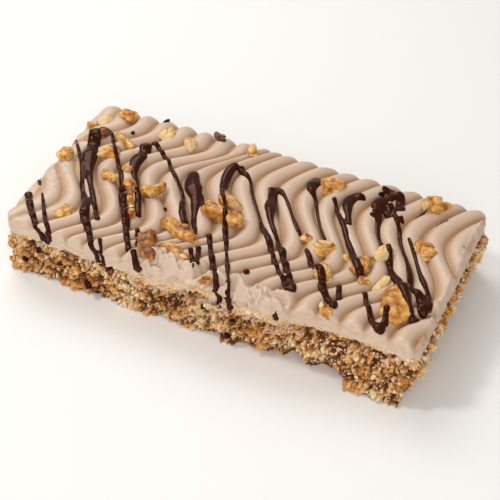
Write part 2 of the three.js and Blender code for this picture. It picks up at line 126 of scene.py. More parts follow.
# The comb's sideways swings: at each place along X, the turns of a ridge from back to front,
# as the Y of the turn and how far the ridge is swung there along X.
COMB_STATIONS = (
    (-70.0, ((38, 9), (5, -9.5), (-25, 9), (-55, -6))),
    (-38.0, ((37, 9), (9, -9.5), (-23, 8.5), (-48, -8))),
    (5.0, ((64, 8), (22.5, -10.3), (-12, 6.3), (-38, -12.5))),
    (85.0, ((62, 5), (19.5, -12.7), (-13, 2.5), (-39, -15))),
)

# Strands of drizzle: points of x, y and width. A y past the front edge hangs down the front.
STRANDS = {"left": (
    ((-90.6, -26.8, 3), (-86.5, -32, 2.8), (-82.8, -36.4, 2.6), (-78.5, -41, 2.4),
     (-74.9, -44.6, 2.2), (-72.4, -50, 2.2), (-70.7, -55.5, 3.4)),
    ((-91.5, -17, 1.6), (-87.5, -22, 1.2)),
    ((-84.5, -25, 1), (-78.5, -33, 1.4), (-72.5, -41, 1.8), (-67.7, -47.5, 2.3), (-68.5, -51, 2.2),
     (-70.2, -55.5, 3.2)),
    ((-93, 15.5, 1), (-83.5, 4, 1.6), (-78.5, -2, 2), (-73.5, -10, 2.4), (-70.5, -15, 3),
     (-63.5, -23, 3.5), (-60.5, -30, 3.5), (-53.5, -38, 2.6), (-47.5, -46, 2.4), (-45, -53, 2),
     (-44.9, -58, 2.2), (-44, -60.5, 3.2)),
    ((-86.5, 23, 5), (-83.5, 17, 5), (-81.5, 11, 5.5), (-78.5, 4, 6), (-75.5, -1, 4),
     (-70.5, -9, 2.6), (-63.5, -18, 2), (-56.5, -27, 2), (-52, -32.5, 2)),
    ((-86.5, 24, 2.4), (-82.5, 27, 2), (-80.5, 26, 1.6), (-76.5, 21, 1.6), (-73.5, 17, 1.5),
     (-71.5, 14, 1.6), (-66.5, 8, 1.8), (-60.5, 1, 2), (-55.5, -7, 2.5), (-51.5, -13, 3),
     (-46.5, -21, 3), (-42.5, -26, 3), (-38.5, -33, 2.5), (-33.5, -40, 2.2), (-31.5, -43, 2.6)),
    ((-30.6, -41.5, 2.4), (-27.7, -44.8, 2.2), (-25.5, -47.6, 2.4), (-23.5, -50.5, 3.6)),
    ((-60.5, 26, 3), (-60.5, 24, 4), (-58.5, 17, 5), (-58.5, 10, 5), (-55.5, 3, 3),
     (-50.5, -3, 2.5), (-46.5, -9, 2.5), (-42.5, -16, 2.6), (-38.5, -23, 2.4)),
    ((-60.5, 26, 3), (-55.5, 25.5, 2), (-51.5, 21, 1.8), (-47.5, 19, 1.6), (-43.5, 14.5, 1.6),
     (-38.5, 9, 1.8), (-33.5, 4.5, 2), (-29.5, 0, 2), (-26.5, -7, 2.6), (-21.5, -15, 3),
     (-16.5, -21, 2.4)),
    ((-46.5, -40.5, 1.6), (-43.5, -45.5, 1.4), (-42, -52, 1.6), (-42.4, -57, 1.8),
     (-41.8, -62, 2.6)),
    ((-36, -28, 2), (-32.5, -34, 1.5), (-29.5, -40, 1.5)),
    ((-63.5, 44.5, 4), (-59.5, 43.5, 5)),
), "middle": (
    ((-35.5, 14.5, 3), (-31.5, 14, 4), (-29.5, 8, 5.5), (-26.5, 4, 6.5), (-23.5, 0, 4.5),
     (-19.5, -8, 3), (-16.5, -15, 2.4), (-14.5, -18, 2), (-10.5, -25, 1.2)),
    ((-22.5, 3, 2.2), (-18.5, -3, 1.6), (-15.5, -7, 1.4)),
    ((-8.5, -17, 2.4), (-4.5, -24, 2), (-1.5, -29, 2), (2.5, -35, 2.4), (5.8, -40, 2),
     (9.2, -45.3, 2.2), (11.3, -51, 2), (12.3, -57.5, 2.2)),
    ((-16, 28.5, 3), (-18, 26, 3.6), (-18, 19, 3.8), (-16, 12, 3.5), (-13.5, 6, 2.4),
     (-10.5, 0, 1.6), (-7.5, -3, 1.6), (-4.5, -10, 1.8), (-1.5, -16, 2.2), (1.5, -21, 1.8),
     (4.5, -27, 1.2), (8.5, -34, 1.8), (11.5, -40, 1.4), (14.4, -45.6, 1.8), (15.6, -51, 2),
     (18.6, -52.5, 3)),
    ((-16, 28.5, 3), (-11.5, 23, 2.6), (-7.5, 21, 1.8), (-4.5, 15, 1.6), (-0.5, 10, 1.8),
     (4.5, 3, 2), (10.5, -5, 2.4), (13.7, -9, 2.2), (18.1, -14.6, 2.6), (21.3, -19.2, 1.7),
     (24.7, -24.2, 2), (27.7, -27.4, 1.5), (30.4, -30.6, 1.8), (33.4, -33.6, 1.6),
     (36.2, -37.8, 2.4)),
    ((2.5, 21, 4), (5.5, 15, 5.5), (8.5, 7, 4.4), (11.5, 0, 2.6), (16.5, -7, 1.8),
     (21.8, -13.2, 2.2), (24.3, -16.4, 3), (26.8, -20.6, 2.2), (29.4, -24, 2.9), (31.8, -27.4, 2),
     (34.6, -31.2, 2.6), (36.9, -34.6, 3.2), (38.2, -38, 2.6)),
    ((3.5, 22.5, 3), (6.5, 20, 3), (10.5, 16.5, 1.6), (15.5, 10.5, 1.5), (20.5, 3.5, 1.6),
     (25.5, -2.5, 2), (28.5, -5.5, 1.6)),
    ((-11, -29, 2.4), (-7.4, -34.6, 1.7), (-4.3, -39.6, 1.7), (-2.8, -42, 2.6)),
    ((-7.8, -27.5, 2.4), (-5, -33.5, 1.7), (-2.6, -38.6, 1.7), (-1.6, -41, 2.4)),
    ((-4.2, -42.4, 2.8), (-2.8, -42.2, 2.6), (-1.4, -41, 2.6)),
    ((34.8, -46.5, 2), (35.8, -49.5, 1.8), (36.4, -54, 2.2)),
), "right": (
    ((18.5, 37, 5), (18.5, 30, 5.5), (19, 25, 3.4), (23.5, 21, 1.8), (26.5, 15, 1.6),
     (30.5, 8, 1.3), (35.5, 1, 1.3), (37.5, -1.5, 1.2)),
    ((29.5, 25, 2), (32.5, 21, 1.6), (36.5, 15, 2), (41.5, 8, 2.2), (46.5, 0, 2.2), (49.5, -4, 2.6),
     (53.5, -11, 3), (57.5, -16, 3), (60.5, -20, 1.8)),
    ((43.5, 28.5, 1.4), (39.5, 30, 4), (36.5, 26, 5), (37.5, 21, 4), (39.5, 17, 2.6),
     (41.5, 12.5, 2), (43.5, 9.5, 1.6)),
    ((31.5, -9, 1.6), (35.5, -15, 2.2), (39.5, -20, 2), (44.5, -24, 2.8), (47.5, -30, 3),
     (51.5, -34, 2.6), (55.5, -36, 3.2), (55, -40, 2)),
    ((52, -22.5, 2), (53.5, -28, 2), (56.5, -34, 2.4)),
    ((45.4, 38.4, 2.2), (47.5, 39.6, 2.6), (50.5, 40, 2.8), (53.5, 38.8, 3.8), (55.8, 36.3, 4.2),
     (57, 33, 3.4), (58.4, 29.5, 3.4), (59, 27, 2.4)),
    ((49.5, 35, 4), (49.2, 32, 5), (48.9, 29, 5), (48.2, 26, 4), (47.2, 23.6, 2.6)),
    ((46.2, 37.6, 3), (48, 35, 4)),
    ((52.8, 38, 3), (52.2, 34.5, 3.2), (51, 31.5, 3.4)),
    ((52, 32, 3), (54, 30.2, 2.2), (56, 28.4, 2.2)),
    ((50.5, 29, 3.6), (52.6, 26, 2.6), (54.4, 24.4, 3.6), (56.6, 26.2, 5.4), (58.4, 27, 3.8)),
    ((56, 24.5, 3.4), (54.6, 20.8, 2)),
    ((46.5, 21.2, 1.6), (48.5, 21, 2), (51.3, 20, 2.4)),
    ((59.2, 26, 2.2), (60.8, 23.8, 1.8), (62.3, 21.8, 2.4)),
    ((48.5, 26, 3.8), (51, 21.5, 3.4), (53.5, 15.5, 3.6), (56.5, 8.5, 2.4), (61.5, 4, 1.8),
     (65.5, -3, 2.4), (69.5, -10, 2.8), (74.5, -16, 3.5), (78.5, -22, 3.2), (83.5, -29, 1.8),
     (87, -33, 5)),
    ((57, 25.5, 1.8), (57.9, 23.6, 1.8), (60.3, 20.4, 2), (62.6, 16.7, 2.2), (65.6, 10.4, 1.8),
     (68.9, 4.4, 2.2), (72.4, -1.4, 2.4), (74.5, -6, 2.8), (78.5, -14, 2.6), (83.5, -18, 3.4),
     (87, -23, 4), (86, -28, 4.4)),
    ((67, 14, 1.2), (71.5, 7, 1.6), (76.5, -1.5, 1.4), (80.5, -8, 2), (85.5, -15, 2),
     (88.5, -20, 2), (88.5, -25, 2.2)),
    ((62, -23.5, 2.2), (65.5, -29, 1.8), (68.5, -34, 2.2), (72.5, -39, 2.4), (75.5, -41.5, 4.2),
     (78.5, -41, 3)),
    ((74, -30, 2.4), (75.5, -35, 2), (76.5, -40, 3)),
    ((64.8, 26.4, 0.8), (67, 29.7, 0.9), (69.7, 32.9, 0.7)),
    ((74.3, 25.1, 0.7), (76.6, 28.9, 0.8), (79.5, 31.6, 0.7)),
)}
# Lone drops of chocolate: x, y and width.
DROPS = {"left": ((-71, 29.5, 2.2), (-32.5, -11, 2.0)), "middle": ((17, -34.5, 2.8),),
         "right": ((89.5, 18, 1.0),)}

# What walnut_01 and on look like: heading in degrees, curve, width as a part of the length, skin
# from 0 pale to 1 dark brown, how much is broken pale flesh, number of lobes, and random seed.
LOOKS = (
    (20, 0.2, 0.84, 0.3, 0.5, 4, 3), (60, 0.0, 0.67, 0.1, 0.7, 1, 5),
    (40, 0.2, 0.88, 0.2, 0.5, 4, 8), (-35, 0.2, 0.36, 0.15, 0.5, 4, 2),
    (70, 0.3, 0.82, 0.35, 0.3, 6, 11), (0, 0.3, 0.89, 0.75, 0.1, 5, 4),
    (-50, 0.4, 0.8, 0.2, 0.3, 5, 7), (-15, 0.0, 0.56, 0.15, 0.6, 3, 9),
    (-50, 0.2, 0.82, 0.5, 0.2, 6, 6), (-60, 0.3, 0.82, 0.6, 0.2, 6, 12),
    (-45, 0.0, 0.75, 0.5, 0.3, 5, 14), (25, 0.7, 0.64, 0.35, 0.3, 4, 1),
    (-22, 0.2, 0.35, 0.35, 0.9, 8, 21), (-22, 0.2, 0.38, 0.35, 0.8, 8, 22),
    (-52, 0.3, 0.47, 0.75, 0.15, 9, 23), (-15, 0.4, 0.65, 0.15, 0.45, 7, 24),
    (-8, -0.45, 0.35, 0.35, 0.2, 5, 25), (-70, 0.1, 0.71, 0.0, 0.7, 2, 26),
    (-60, 0.0, 0.58, 0.1, 0.6, 2, 27), (-50, 0.2, 0.75, 0.25, 0.5, 4, 28),
    (10, 0.3, 0.71, 0.3, 0.3, 6, 29), (20, 0.3, 0.71, 0.25, 0.3, 6, 30),
    (-60, 0.3, 0.8, 0.2, 0.4, 5, 31), (-65, 0.3, 0.67, 0.45, 0.4, 5, 32),
    (75, 0.3, 0.57, 0.05, 0.7, 1, 33), (75, 0.6, 0.45, 0.05, 0.7, 1, 34),
    (-64, 0.0, 0.58, 0.42, 0.05, 0, 35), (10, 0.3, 0.75, 0.3, 0.3, 7, 36),
    (-20, 0.6, 0.77, 0.3, 0.2, 5, 37), (60, 0.1, 0.71, 0.15, 0.6, 3, 38),
    (-35, 0.4, 0.44, 1.0, 0.0, 4, 39),
)
WALNUT_LOOKS = {f"walnut_{number:02}": look for number, look in enumerate(LOOKS, 1)}
WALNUT_CRUMBS = (  # small loose bits: x, y, size, skin
    (-59, 3.5, 5.0, 0.2), (30, -4.5, 6.0, 0.4), (-87, 15.5, 3.0, 0.2), (-91.5, 27, 5.0, 0.2),
    (48.5, -7, 5.0, 0.1), (61, -20, 5.0, 0.3), (4.5, -45, 5.5, 0.6), (64, 3.5, 1.2, 0.9),
    (53.5, -41.2, 6.5, 0.4),
)

# ---- the camera, in mm and degrees

CAMERA_AZIMUTH = 25.43
CAMERA_ELEVATION = 41.11
CAMERA_DISTANCE = 513.3
CAMERA_TARGET = (-2.7, 10.24, 0.0)
CAMERA_LENS = 83.4  # on a 36 mm wide sensor


# ---- small helpers


def smoothstep(value, low, high):
    t = np.clip((value - low) / (high - low), 0.0, 1.0)
    return t * t * (3.0 - 2.0 * t)


def on_floor(x, y):
    """Points at these places, with a z of 0."""
    return np.stack([x, y, np.zeros_like(x)], axis=1)


def noise_at(points, spacing, seed=0.0):
    """Smooth noise from -1 to 1 at each point, its lumps about that many mm apart."""
    shift = Vector((seed * 3.1, seed * 1.7, seed * 2.3))
    return np.array([noise.noise(Vector(point) / spacing + shift) for point in points])


def cells_at(points, spacing, seed=0.0):
    """For each point: how far it is from the crack round its lump, the lump's swell and tint."""
    shift = Vector((seed * 3.1, seed * 1.7, seed * 2.3))
    near, crack, tint = np.empty((3, len(points)))
    for i, point in enumerate(points):
        distances, middles = noise.voronoi(Vector(point) / spacing + shift)
        near[i] = distances[0]
        crack[i] = distances[1] - distances[0]
        tint[i] = noise.cell(middles[0] * 7.3)
    return crack, np.sqrt(np.clip(1 - (near / 0.85) ** 2, 0, 1)), tint


def new_bmesh(*layers):
    """An empty bmesh whose vertices carry a number under each of these names."""
    bm = bmesh.new()
    for name in layers:
        bm.verts.layers.float.new(name)
    return bm


def store(bm, verts, **numbers):
    """Writes each list of numbers under its name, one number on each vertex."""
    for name, values in numbers.items():
        layer = bm.verts.layers.float[name]
        for vert, value in zip(verts, values):
            vert[layer] = value


def finish_piece(name, bm, material, replaced=(), smooth=True):
    """Turns a bmesh in mm into a piece in metres that rides on the slice."""
    bmesh.ops.scale(bm, vec=(MM, MM, MM), verts=bm.verts)
    mesh = bpy.data.meshes.new(name)
    bm.to_mesh(mesh)
    bm.free()
    if smooth:
        mesh.shade_smooth()
    piece = bpy.data.objects.new(name, mesh)
    bpy.context.scene.collection.objects.link(piece)
    mesh.materials.append(material)
    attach(piece, "root")
    if replaced:
        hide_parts(*replaced)
    return piece


def place(verts, points):
    for vert, point in zip(verts, points):
        vert.co = point


# ---- materials


def linear(hex_colour):
    """An sRGB hex colour as linear red, green, blue and alpha."""
    parts = [int(hex_colour[i : i + 2], 16) / 255 for i in (1, 3, 5)]
    return [c / 12.92 if c <= 0.04045 else ((c + 0.055) / 1.055) ** 2.4 for c in parts] + [1.0]


def add_node(tree, kind, inputs=None, stops=None, **settings):
    """Adds a shader node. An input is a value, an output, or a node, for its first live output;
    stops are a ramp's colours."""
    node = tree.nodes.new("ShaderNode" + kind)
    for name, value in settings.items():
        setattr(node, name, value)
    for name, value in (inputs or {}).items():
        if isinstance(value, bpy.types.Node):
            value = next(output for output in value.outputs if output.enabled)
        if isinstance(value, bpy.types.NodeSocket):
            tree.links.new(value, node.inputs[name])
        else:
            node.inputs[name].default_value = value
    if stops:
        ramp = node.color_ramp
        while len(ramp.elements) < len(stops):
            ramp.elements.new(1.0)
        for element, (position, colour) in zip(ramp.elements, stops):
            element.position = position
            element.color = colour
    return node


def new_material(name):
    """An empty material, what adds a node to it, and the object's own coordinates."""
    material = bpy.data.materials.new(name)
    material.use_nodes = True
    material.node_tree.nodes.clear()
    add = partial(add_node, material.node_tree)
    return material, add, add("TexCoord").outputs["Object"]


def finish_material(material, add, shading):
    """Gives the material its shader, with these inputs."""
    add("OutputMaterial", {"Surface": add("BsdfPrincipled", shading)})
    return material


def per_metre(spacing_mm):
    return 1.0 / (spacing_mm * MM)


MIX, MIX_A, MIX_B = 0, 6, 7  # a colour Mix node's sockets


def icing_material(settings):
    """Fudge buttercream, combed: satin and slightly see-through, with a darker, warmer painted shade
    in its grooves and fold hollows; where a knife has smeared it, it is paler and glossier."""
    material, add, place_on = new_material("fudge_buttercream_combed")
    groove = add("Attribute", attribute_name="groove").outputs["Fac"]
    smear = add("Attribute", attribute_name="smear").outputs["Fac"]
    mottle = add("TexNoise", {"Vector": place_on, "Scale": per_metre(16), "Detail": 3.0})
    crest = add("Mix", {MIX: mottle, MIX_A: settings.crest_shade, MIX_B: settings.crest},
                data_type="RGBA")
    # Painted shade: deep in the grooves and fold hollows the colour turns to the darker, warmer groove
    # colour.
    deep = add("MapRange", {"Value": groove, "From Min": 0.25, "From Max": 0.95, "To Max": 0.8})
    combed = add("Mix", {MIX: deep, MIX_A: crest, MIX_B: settings.groove}, data_type="RGBA")
    streaks = add("TexNoise", {"Vector": place_on, "Scale": per_metre(3), "Detail": 4.0})
    smeared = add("Math", {0: smear, 1: streaks}, operation="MULTIPLY")
    colour = add("Mix", {MIX: smeared, MIX_A: combed, MIX_B: settings.smear}, data_type="RGBA")
    rough = add("MapRange", {"Value": smear, "To Min": 0.4, "To Max": 0.3})
    # Air bubbles and drag marks of a fraction of a millimetre, drawn at 0.8 mm to show.
    grain = add("TexNoise", {"Vector": place_on, "Scale": per_metre(0.8), "Detail": 3.0})
    bump = add("Bump", {"Height": grain, "Strength": 0.1, "Distance": 0.3 * MM})
    return finish_material(material, add, {
        "Base Color": colour, "Roughness": rough, "Normal": bump, "IOR": 1.46,
        "Subsurface Weight": 0.2, "Subsurface Radius": (1.0, 0.55, 0.3),
        "Subsurface Scale": 1.6 * MM})


def chocolate_material(settings):
    """Dark chocolate, piped and set: near black-brown, smooth, with tight highlights."""
    material, add, place_on = new_material("dark_chocolate_set")
    cloud = add("TexNoise", {"Vector": place_on, "Scale": per_metre(4), "Detail": 3.0})
    colour = add("Mix", {MIX: cloud, MIX_A: settings.dark, MIX_B: settings.light},
                 data_type="RGBA")
    rough = add("MapRange", {"Value": cloud, "To Min": 0.05, "To Max": 0.2})
    bump = add("Bump", {"Height": cloud, "Strength": 0.15, "Distance": 0.4 * MM})
    return finish_material(material, add, {
        "Base Color": colour, "Roughness": rough, "Normal": bump, "IOR": 1.5,
        "Specular IOR Level": 0.2, "Specular Tint": (1.0, 0.62, 0.45, 1.0)})


WALNUT_TONES = ("skin", "flesh", "crease")


def walnut_material(settings):
    """Walnut kernel: thin oily skin from straw to dark brown, with painted shade in its creases
    and furrows, and pale dry flesh where a piece has broken."""
    material, add, place_on = new_material("walnut_kernel")
    skin, flesh, crease = (add("Attribute", attribute_name=name).outputs["Fac"]
                           for name in WALNUT_TONES)
    patch = add("TexNoise", {"Vector": place_on, "Scale": per_metre(3.2), "Detail": 4.0})
    spread = add("MapRange", {"Value": patch, "From Min": 0.3, "From Max": 0.7,
                              "To Min": -0.36, "To Max": 0.36})
    tone = add("Math", {0: skin, 1: spread}, operation="ADD")
    skin_colour = add("ValToRGB", {"Fac": tone}, stops=(
        (0.0, settings.skin_pale), (0.35, settings.skin_gold), (0.65, settings.skin_brown),
        (1.0, settings.skin_dark)))
    fibre = add("TexNoise", {"Vector": place_on, "Scale": per_metre(0.9), "Detail": 4.0})
    flesh_colour = add("Mix", {MIX: fibre, MIX_A: settings.flesh_shade, MIX_B: settings.flesh},
                       data_type="RGBA")
    ragged = add("Math", {0: flesh, 1: fibre}, operation="ADD")
    bare = add("MapRange", {"Value": ragged, "From Min": 0.85, "From Max": 1.1})
    kernel = add("Mix", {MIX: bare, MIX_A: skin_colour, MIX_B: flesh_colour}, data_type="RGBA")
    # Painted shade in the creases between the lobes and along the furrows.
    deep = add("MapRange", {"Value": crease, "To Max": 0.75})
    colour = add("Mix", {MIX: deep, MIX_A: kernel, MIX_B: settings.crease}, data_type="RGBA")
    rough = add("MapRange", {"Value": bare, "To Min": 0.3, "To Max": 0.5})
    bump = add("Bump", {"Height": fibre, "Strength": 0.5, "Distance": 0.25 * MM})
    return finish_material(material, add, {
        "Base Color": colour, "Roughness": rough, "Normal": bump, "IOR": 1.47,
        "Subsurface Weight": 0.1, "Subsurface Radius": (1.0, 0.5, 0.2),
        "Subsurface Scale": 0.8 * MM})


def oat_material(name, settings, lightness):
    """Baked oat crumb bound with syrup: matt flakes from cream to golden brown, each its own
    tone, with painted shade in the cracks and hollows between them."""
    material, add, place_on = new_material(name)
    tint = add("Attribute", attribute_name="tint").outputs["Fac"]
    pit = add("Attribute", attribute_name="pit").outputs["Fac"]
    speck = add("TexNoise", {"Vector": place_on, "Scale": per_metre(1.1), "Detail": 5.0})
    spread = add("MapRange", {"Value": speck, "From Min": 0.3, "From Max": 0.7,
                              "To Min": lightness - 0.25, "To Max": lightness + 0.25})
    # Patches where the crumb is floury or well toasted, a centimetre or so across.
    bake = add("TexNoise", {"Vector": place_on, "Scale": per_metre(14), "Detail": 2.0})
    patch = add("MapRange", {"Value": bake, "From Min": 0.35, "From Max": 0.65,
                             "To Min": 0.08, "To Max": 0.5})
    shade = add("Math", {0: tint, 1: 0.55, 2: patch}, operation="MULTIPLY_ADD")
    tone = add("Math", {0: shade, 1: spread}, operation="ADD")
    flake = add("ValToRGB", {"Fac": tone}, stops=(
        (0.0, settings.toasted), (0.35, settings.golden), (0.7, settings.oat),
        (1.0, settings.pale)))
    # Painted shade: where the crumb's surface lies low, the colour turns to the dark crack colour.
    colour = add("Mix", {MIX: pit, MIX_A: flake, MIX_B: settings.crack}, data_type="RGBA")
    grain = add("TexNoise", {"Vector": place_on, "Scale": per_metre(0.6), "Detail": 4.0})
    bump = add("Bump", {"Height": grain, "Strength": 0.7, "Distance": 0.3 * MM})
    rough = add("MapRange", {"Value": speck, "To Min": 0.5, "To Max": 0.85})
    return finish_material(material, add, {
        "Base Color": colour, "Roughness": rough, "Normal": bump, "Specular IOR Level": 0.3})


# ---- combed icing


def comb_swing(x, y):
    """How far the comb had swung along X at each place."""
    stations = np.array([station for station, _ in COMB_STATIONS])
    turns = np.array([turns for _, turns in COMB_STATIONS], float)
    before = np.clip(np.searchsorted(stations, x, side="right") - 1, 0, len(stations) - 2)
    blend = smoothstep(x, stations[before], stations[before + 1])[:, None, None]
    here = turns[before] * (1 - blend) + turns[before + 1] * blend
    swing = here[:, 0, 1].copy()
    for i in range(here.shape[1] - 1):
        start, end = here[:, i], here[:, i + 1]
        share = np.clip((start[:, 0] - y) / (start[:, 0] - end[:, 0]), 0.0, 1.0)
        swing += (end[:, 1] - start[:, 1]) * (0.5 - 0.5 * np.cos(np.pi * share))
    return swing


def unswung(x, y):
    """The straight-comb position of the ridge that passes through each place."""
    straight = x.copy()
    for _ in range(12):
        straight = 0.5 * (straight + x - comb_swing(straight, y))
    return straight


def stepped(x, steps):
    """Sums steps that come in one after another along X."""
    return sum(by * smoothstep(x, start, end) for start, end, by in steps)


def edge_distances(x, y):
    """Distances in from the front, back, left and right edges of the icing."""
    slant = END_SKEW * y / HALF_WIDTH / 2
    square_x = (x + slant) / (1 + slant / HALF_LENGTH)
    square_y = y + SIDE_SKEW * x / HALF_LENGTH
    return (HALF_WIDTH + square_y - stepped(x, CUT_BACK), HALF_WIDTH - square_y,
            HALF_LENGTH + square_x, HALF_LENGTH - RIGHT_TRIM - RIGHT_LEAN - square_x)


def torn_share(x):
    """From 0 where the icing's front is cut clean to 1 where it is torn."""
    return smoothstep(x, *TORN_FRONT[0]) * (1 - smoothstep(x, *TORN_FRONT[1]))


def roll_off(distance, reach, drop):
    """How far the icing has fallen at a distance in from an edge."""
    return drop * np.clip(1 - distance / reach, 0.0, 1.4) ** 2


def icing_top(x, y, depth):
    """Height of the icing, how much painted shade its grooves and torn fold hollows get, and how much
    the knife dragged it.
    """
    front, back, left, right = edge_distances(x, y)
    flat = on_floor(x, y)
    part = unswung(x, y) / RIDGE_PITCH
    wave = np.abs(np.cos(np.pi * part))
    soft = GROOVE_ROUNDING
    crest = ((wave**2 + soft**2) ** 0.35 - soft**0.7) / ((1 + soft**2) ** 0.35 - soft**0.7)
    torn = torn_share(x)
    waver = noise_at(flat, 13.0, 1)
    dragged = (1 - smoothstep(front + 3.5 * waver, *DRAG_REACH)) * torn
    wiped = (1 - smoothstep(front + 1.2 * waver, 0.2, 3.0)) * (1 - torn)
    smeared = 1 - smoothstep(left + 3.0 * noise_at(flat, 12.0, 2), *SMEAR_REACH)
    ridge = depth * (1 - 0.75 * dragged) * (1 - 0.5 * smeared) * (1 - 0.1 * wiped)
    slow = 0.45 * noise_at(flat, 19.0, 3)
    warp = 2.2 * on_floor(noise_at(flat, 7.0, 11), noise_at(flat, 7.0, 12))
    folds = 1 - 2.6 * np.abs(noise_at((flat + warp) * (1, 1.3, 1), 7.0, 4))
    tears = 1 - 2.6 * np.abs(noise_at((flat + warp) * (1, 1.6, 1), 3.0, 5))
    flecks = noise_at(flat * (1, 1.3, 1), 1.5, 14)
    rough = dragged * (3.2 * folds + 1.2 * tears + 0.35 * flecks) + wiped * (0.3 * tears + 0.1 * flecks)
    patch = smeared * smoothstep(noise_at(flat, 9.0, 15), 0.0, 0.25)
    rough += patch * (0.4 * tears + 0.25 * flecks)
    front_roll = roll_off(front, 7, 4) * torn + roll_off(front, 1.6, 0.6) * (1 - torn)
    burr = 0.6 + 1.1 * noise_at(flat, 3.0, 6) + 0.9 * noise_at(flat, 1.4, 13)
    lip = burr * (1 - smoothstep(right, 0.0, 2.0))
    z = (ICING_TOP - ridge * (1 - crest) + slow + rough + lip - front_roll
         - roll_off(back, 6, 2.4) - roll_off(left, 6, 1.4) - roll_off(right, 3.5, 0.6))
    # Painted shade: darkest deep in the grooves between the ridges and in the hollows of the torn folds.
    groove_shade = (1 - crest) * (1 - 0.7 * dragged) + dragged * smoothstep(-folds - 0.5 * tears, -0.6, 1.4)
    return z, groove_shade, np.maximum(dragged, 0.5 * np.maximum(smeared, wiped))


def onto_plan(u, v):
    """A square from -1 to 1 laid on the icing's plan: place and outward direction."""
    straight_x = HALF_LENGTH - CORNER_RADIUS
    straight_y = HALF_WIDTH - CORNER_RADIUS
    past_x = np.maximum(np.abs(u) * HALF_LENGTH - straight_x, 0.0)
    past_y = np.maximum(np.abs(v) * HALF_WIDTH - straight_y, 0.0)
    reach = np.hypot(past_x, past_y)
    scale = np.maximum(past_x, past_y) / np.maximum(reach, 1e-9)
    x = np.sign(u) * (np.minimum(np.abs(u) * HALF_LENGTH, straight_x) + past_x * scale)
    y = np.sign(v) * (np.minimum(np.abs(v) * HALF_WIDTH, straight_y) + past_y * scale)
    out = np.stack([np.sign(u) * past_x, np.sign(v) * past_y], axis=1)
    out /= np.maximum(reach, 1e-9)[:, None]
    y = y + stepped(x, CUT_BACK) * np.clip(-v, 0, 1) ** 6
    x = x - (RIGHT_TRIM + RIGHT_LEAN) * np.clip(u, 0, 1) ** 20
    slant = END_SKEW * y / HALF_WIDTH * (1 - x / HALF_LENGTH) / 2
    return x - slant, y - SIDE_SKEW * x / HALF_LENGTH, out


ICING_RINGS = 18  # rows of faces down the sides


def make_icing(settings, material):
    """The icing: a fine grid on the slice's plan, its rim drawn down into the four sides."""
    bm = new_bmesh("plan_u", "plan_v", "ring", "groove", "smear")
    plan_u, plan_v, ring = bm.verts.layers.float.values()[:3]
    bmesh.ops.create_grid(bm, x_segments=settings.columns, y_segments=settings.rows, size=1)
    for vert in bm.verts:
        vert[plan_u], vert[plan_v] = vert.co.x, vert.co.y
    rim = [edge for edge in bm.edges if edge.is_boundary]
    for level in range(1, ICING_RINGS + 2):
        made = bmesh.ops.extrude_edge_only(bm, edges=rim)["geom"]
        rim = [item for item in made if isinstance(item, bmesh.types.BMEdge)]
        for vert in (item for item in made if isinstance(item, bmesh.types.BMVert)):
            vert[ring] = level
    bmesh.ops.contextual_create(bm, geom=rim)

    u, v, level = (np.array([vert[layer] for vert in bm.verts]) for layer in (plan_u, plan_v, ring))
    x, y, out = onto_plan(u, v)
    z, groove_shade, dragged = icing_top(x, y, settings.ridge_depth / MM)
    down = np.clip(level / ICING_RINGS, 0, 1)
    tucked = level > ICING_RINGS
    side = level > 0
    facing_front = side * np.clip(-out[:, 1], 0, 1)
    facing_right = side * np.clip(out[:, 0], 0, 1)
    facing_left = side * np.clip(-out[:, 0], 0, 1)
    torn = facing_front * torn_share(x)
    cut = facing_front - torn

    along = on_floor(x, y)
    hem = ((0.8 + 0.6 * facing_front + 1.8 * torn) * noise_at(along, 7.0, 7)
           + (0.4 + 0.3 * facing_front + 1.0 * torn) * noise_at(along, 2.6, 8))
    climb = facing_front * (0.5 + stepped(x, CRUMB_CLIMB)) + 2.0 * facing_right
    floor = BASE_TOP - 0.3 + hem + climb
    z = z + down * (floor - z)
    surface = np.stack([x, y, z], axis=1)
    folds = 1 - 2.4 * np.abs(noise_at(surface * (1, 1, 1.3), 7.0, 9))
    scrape = 0.6 - 1.6 * np.abs(noise_at(surface * (0.6, 0.6, 1.5), 2.2, 10))
    push = down * (0.9 * torn + RIGHT_LEAN * facing_right)
    push += np.sin(np.pi * down) * (0.5 * facing_left + 0.4 * (side - facing_front))
    flecks = noise_at(surface * (0.7, 0.7, 1.2), 1.3, 16)
    push += torn * (1.9 * folds + 0.7 * scrape + 0.2 * flecks)
    push += cut * (0.4 * folds + 0.3 * scrape + 0.15 * flecks)
    push += facing_right * (0.5 * scrape + 0.35 * flecks) + 0.2 * side * scrape - 6.0 * tucked
    x = x + out[:, 0] * push
    y = y + out[:, 1] * push
    place(bm.verts, np.stack([x, y, z], axis=1))
    pale = np.maximum(dragged, 0.9 * side - 0.7 * facing_right)
    # The groove attribute carries the painted shade of the grooves and fold hollows, on the top only.
    store(bm, bm.verts, groove=groove_shade * (1 - down), smear=pale)
    bmesh.ops.recalc_face_normals(bm, faces=bm.faces)
    finish_piece("icing", bm, material, ["fudge_icing"])


# ---- walnut pieces


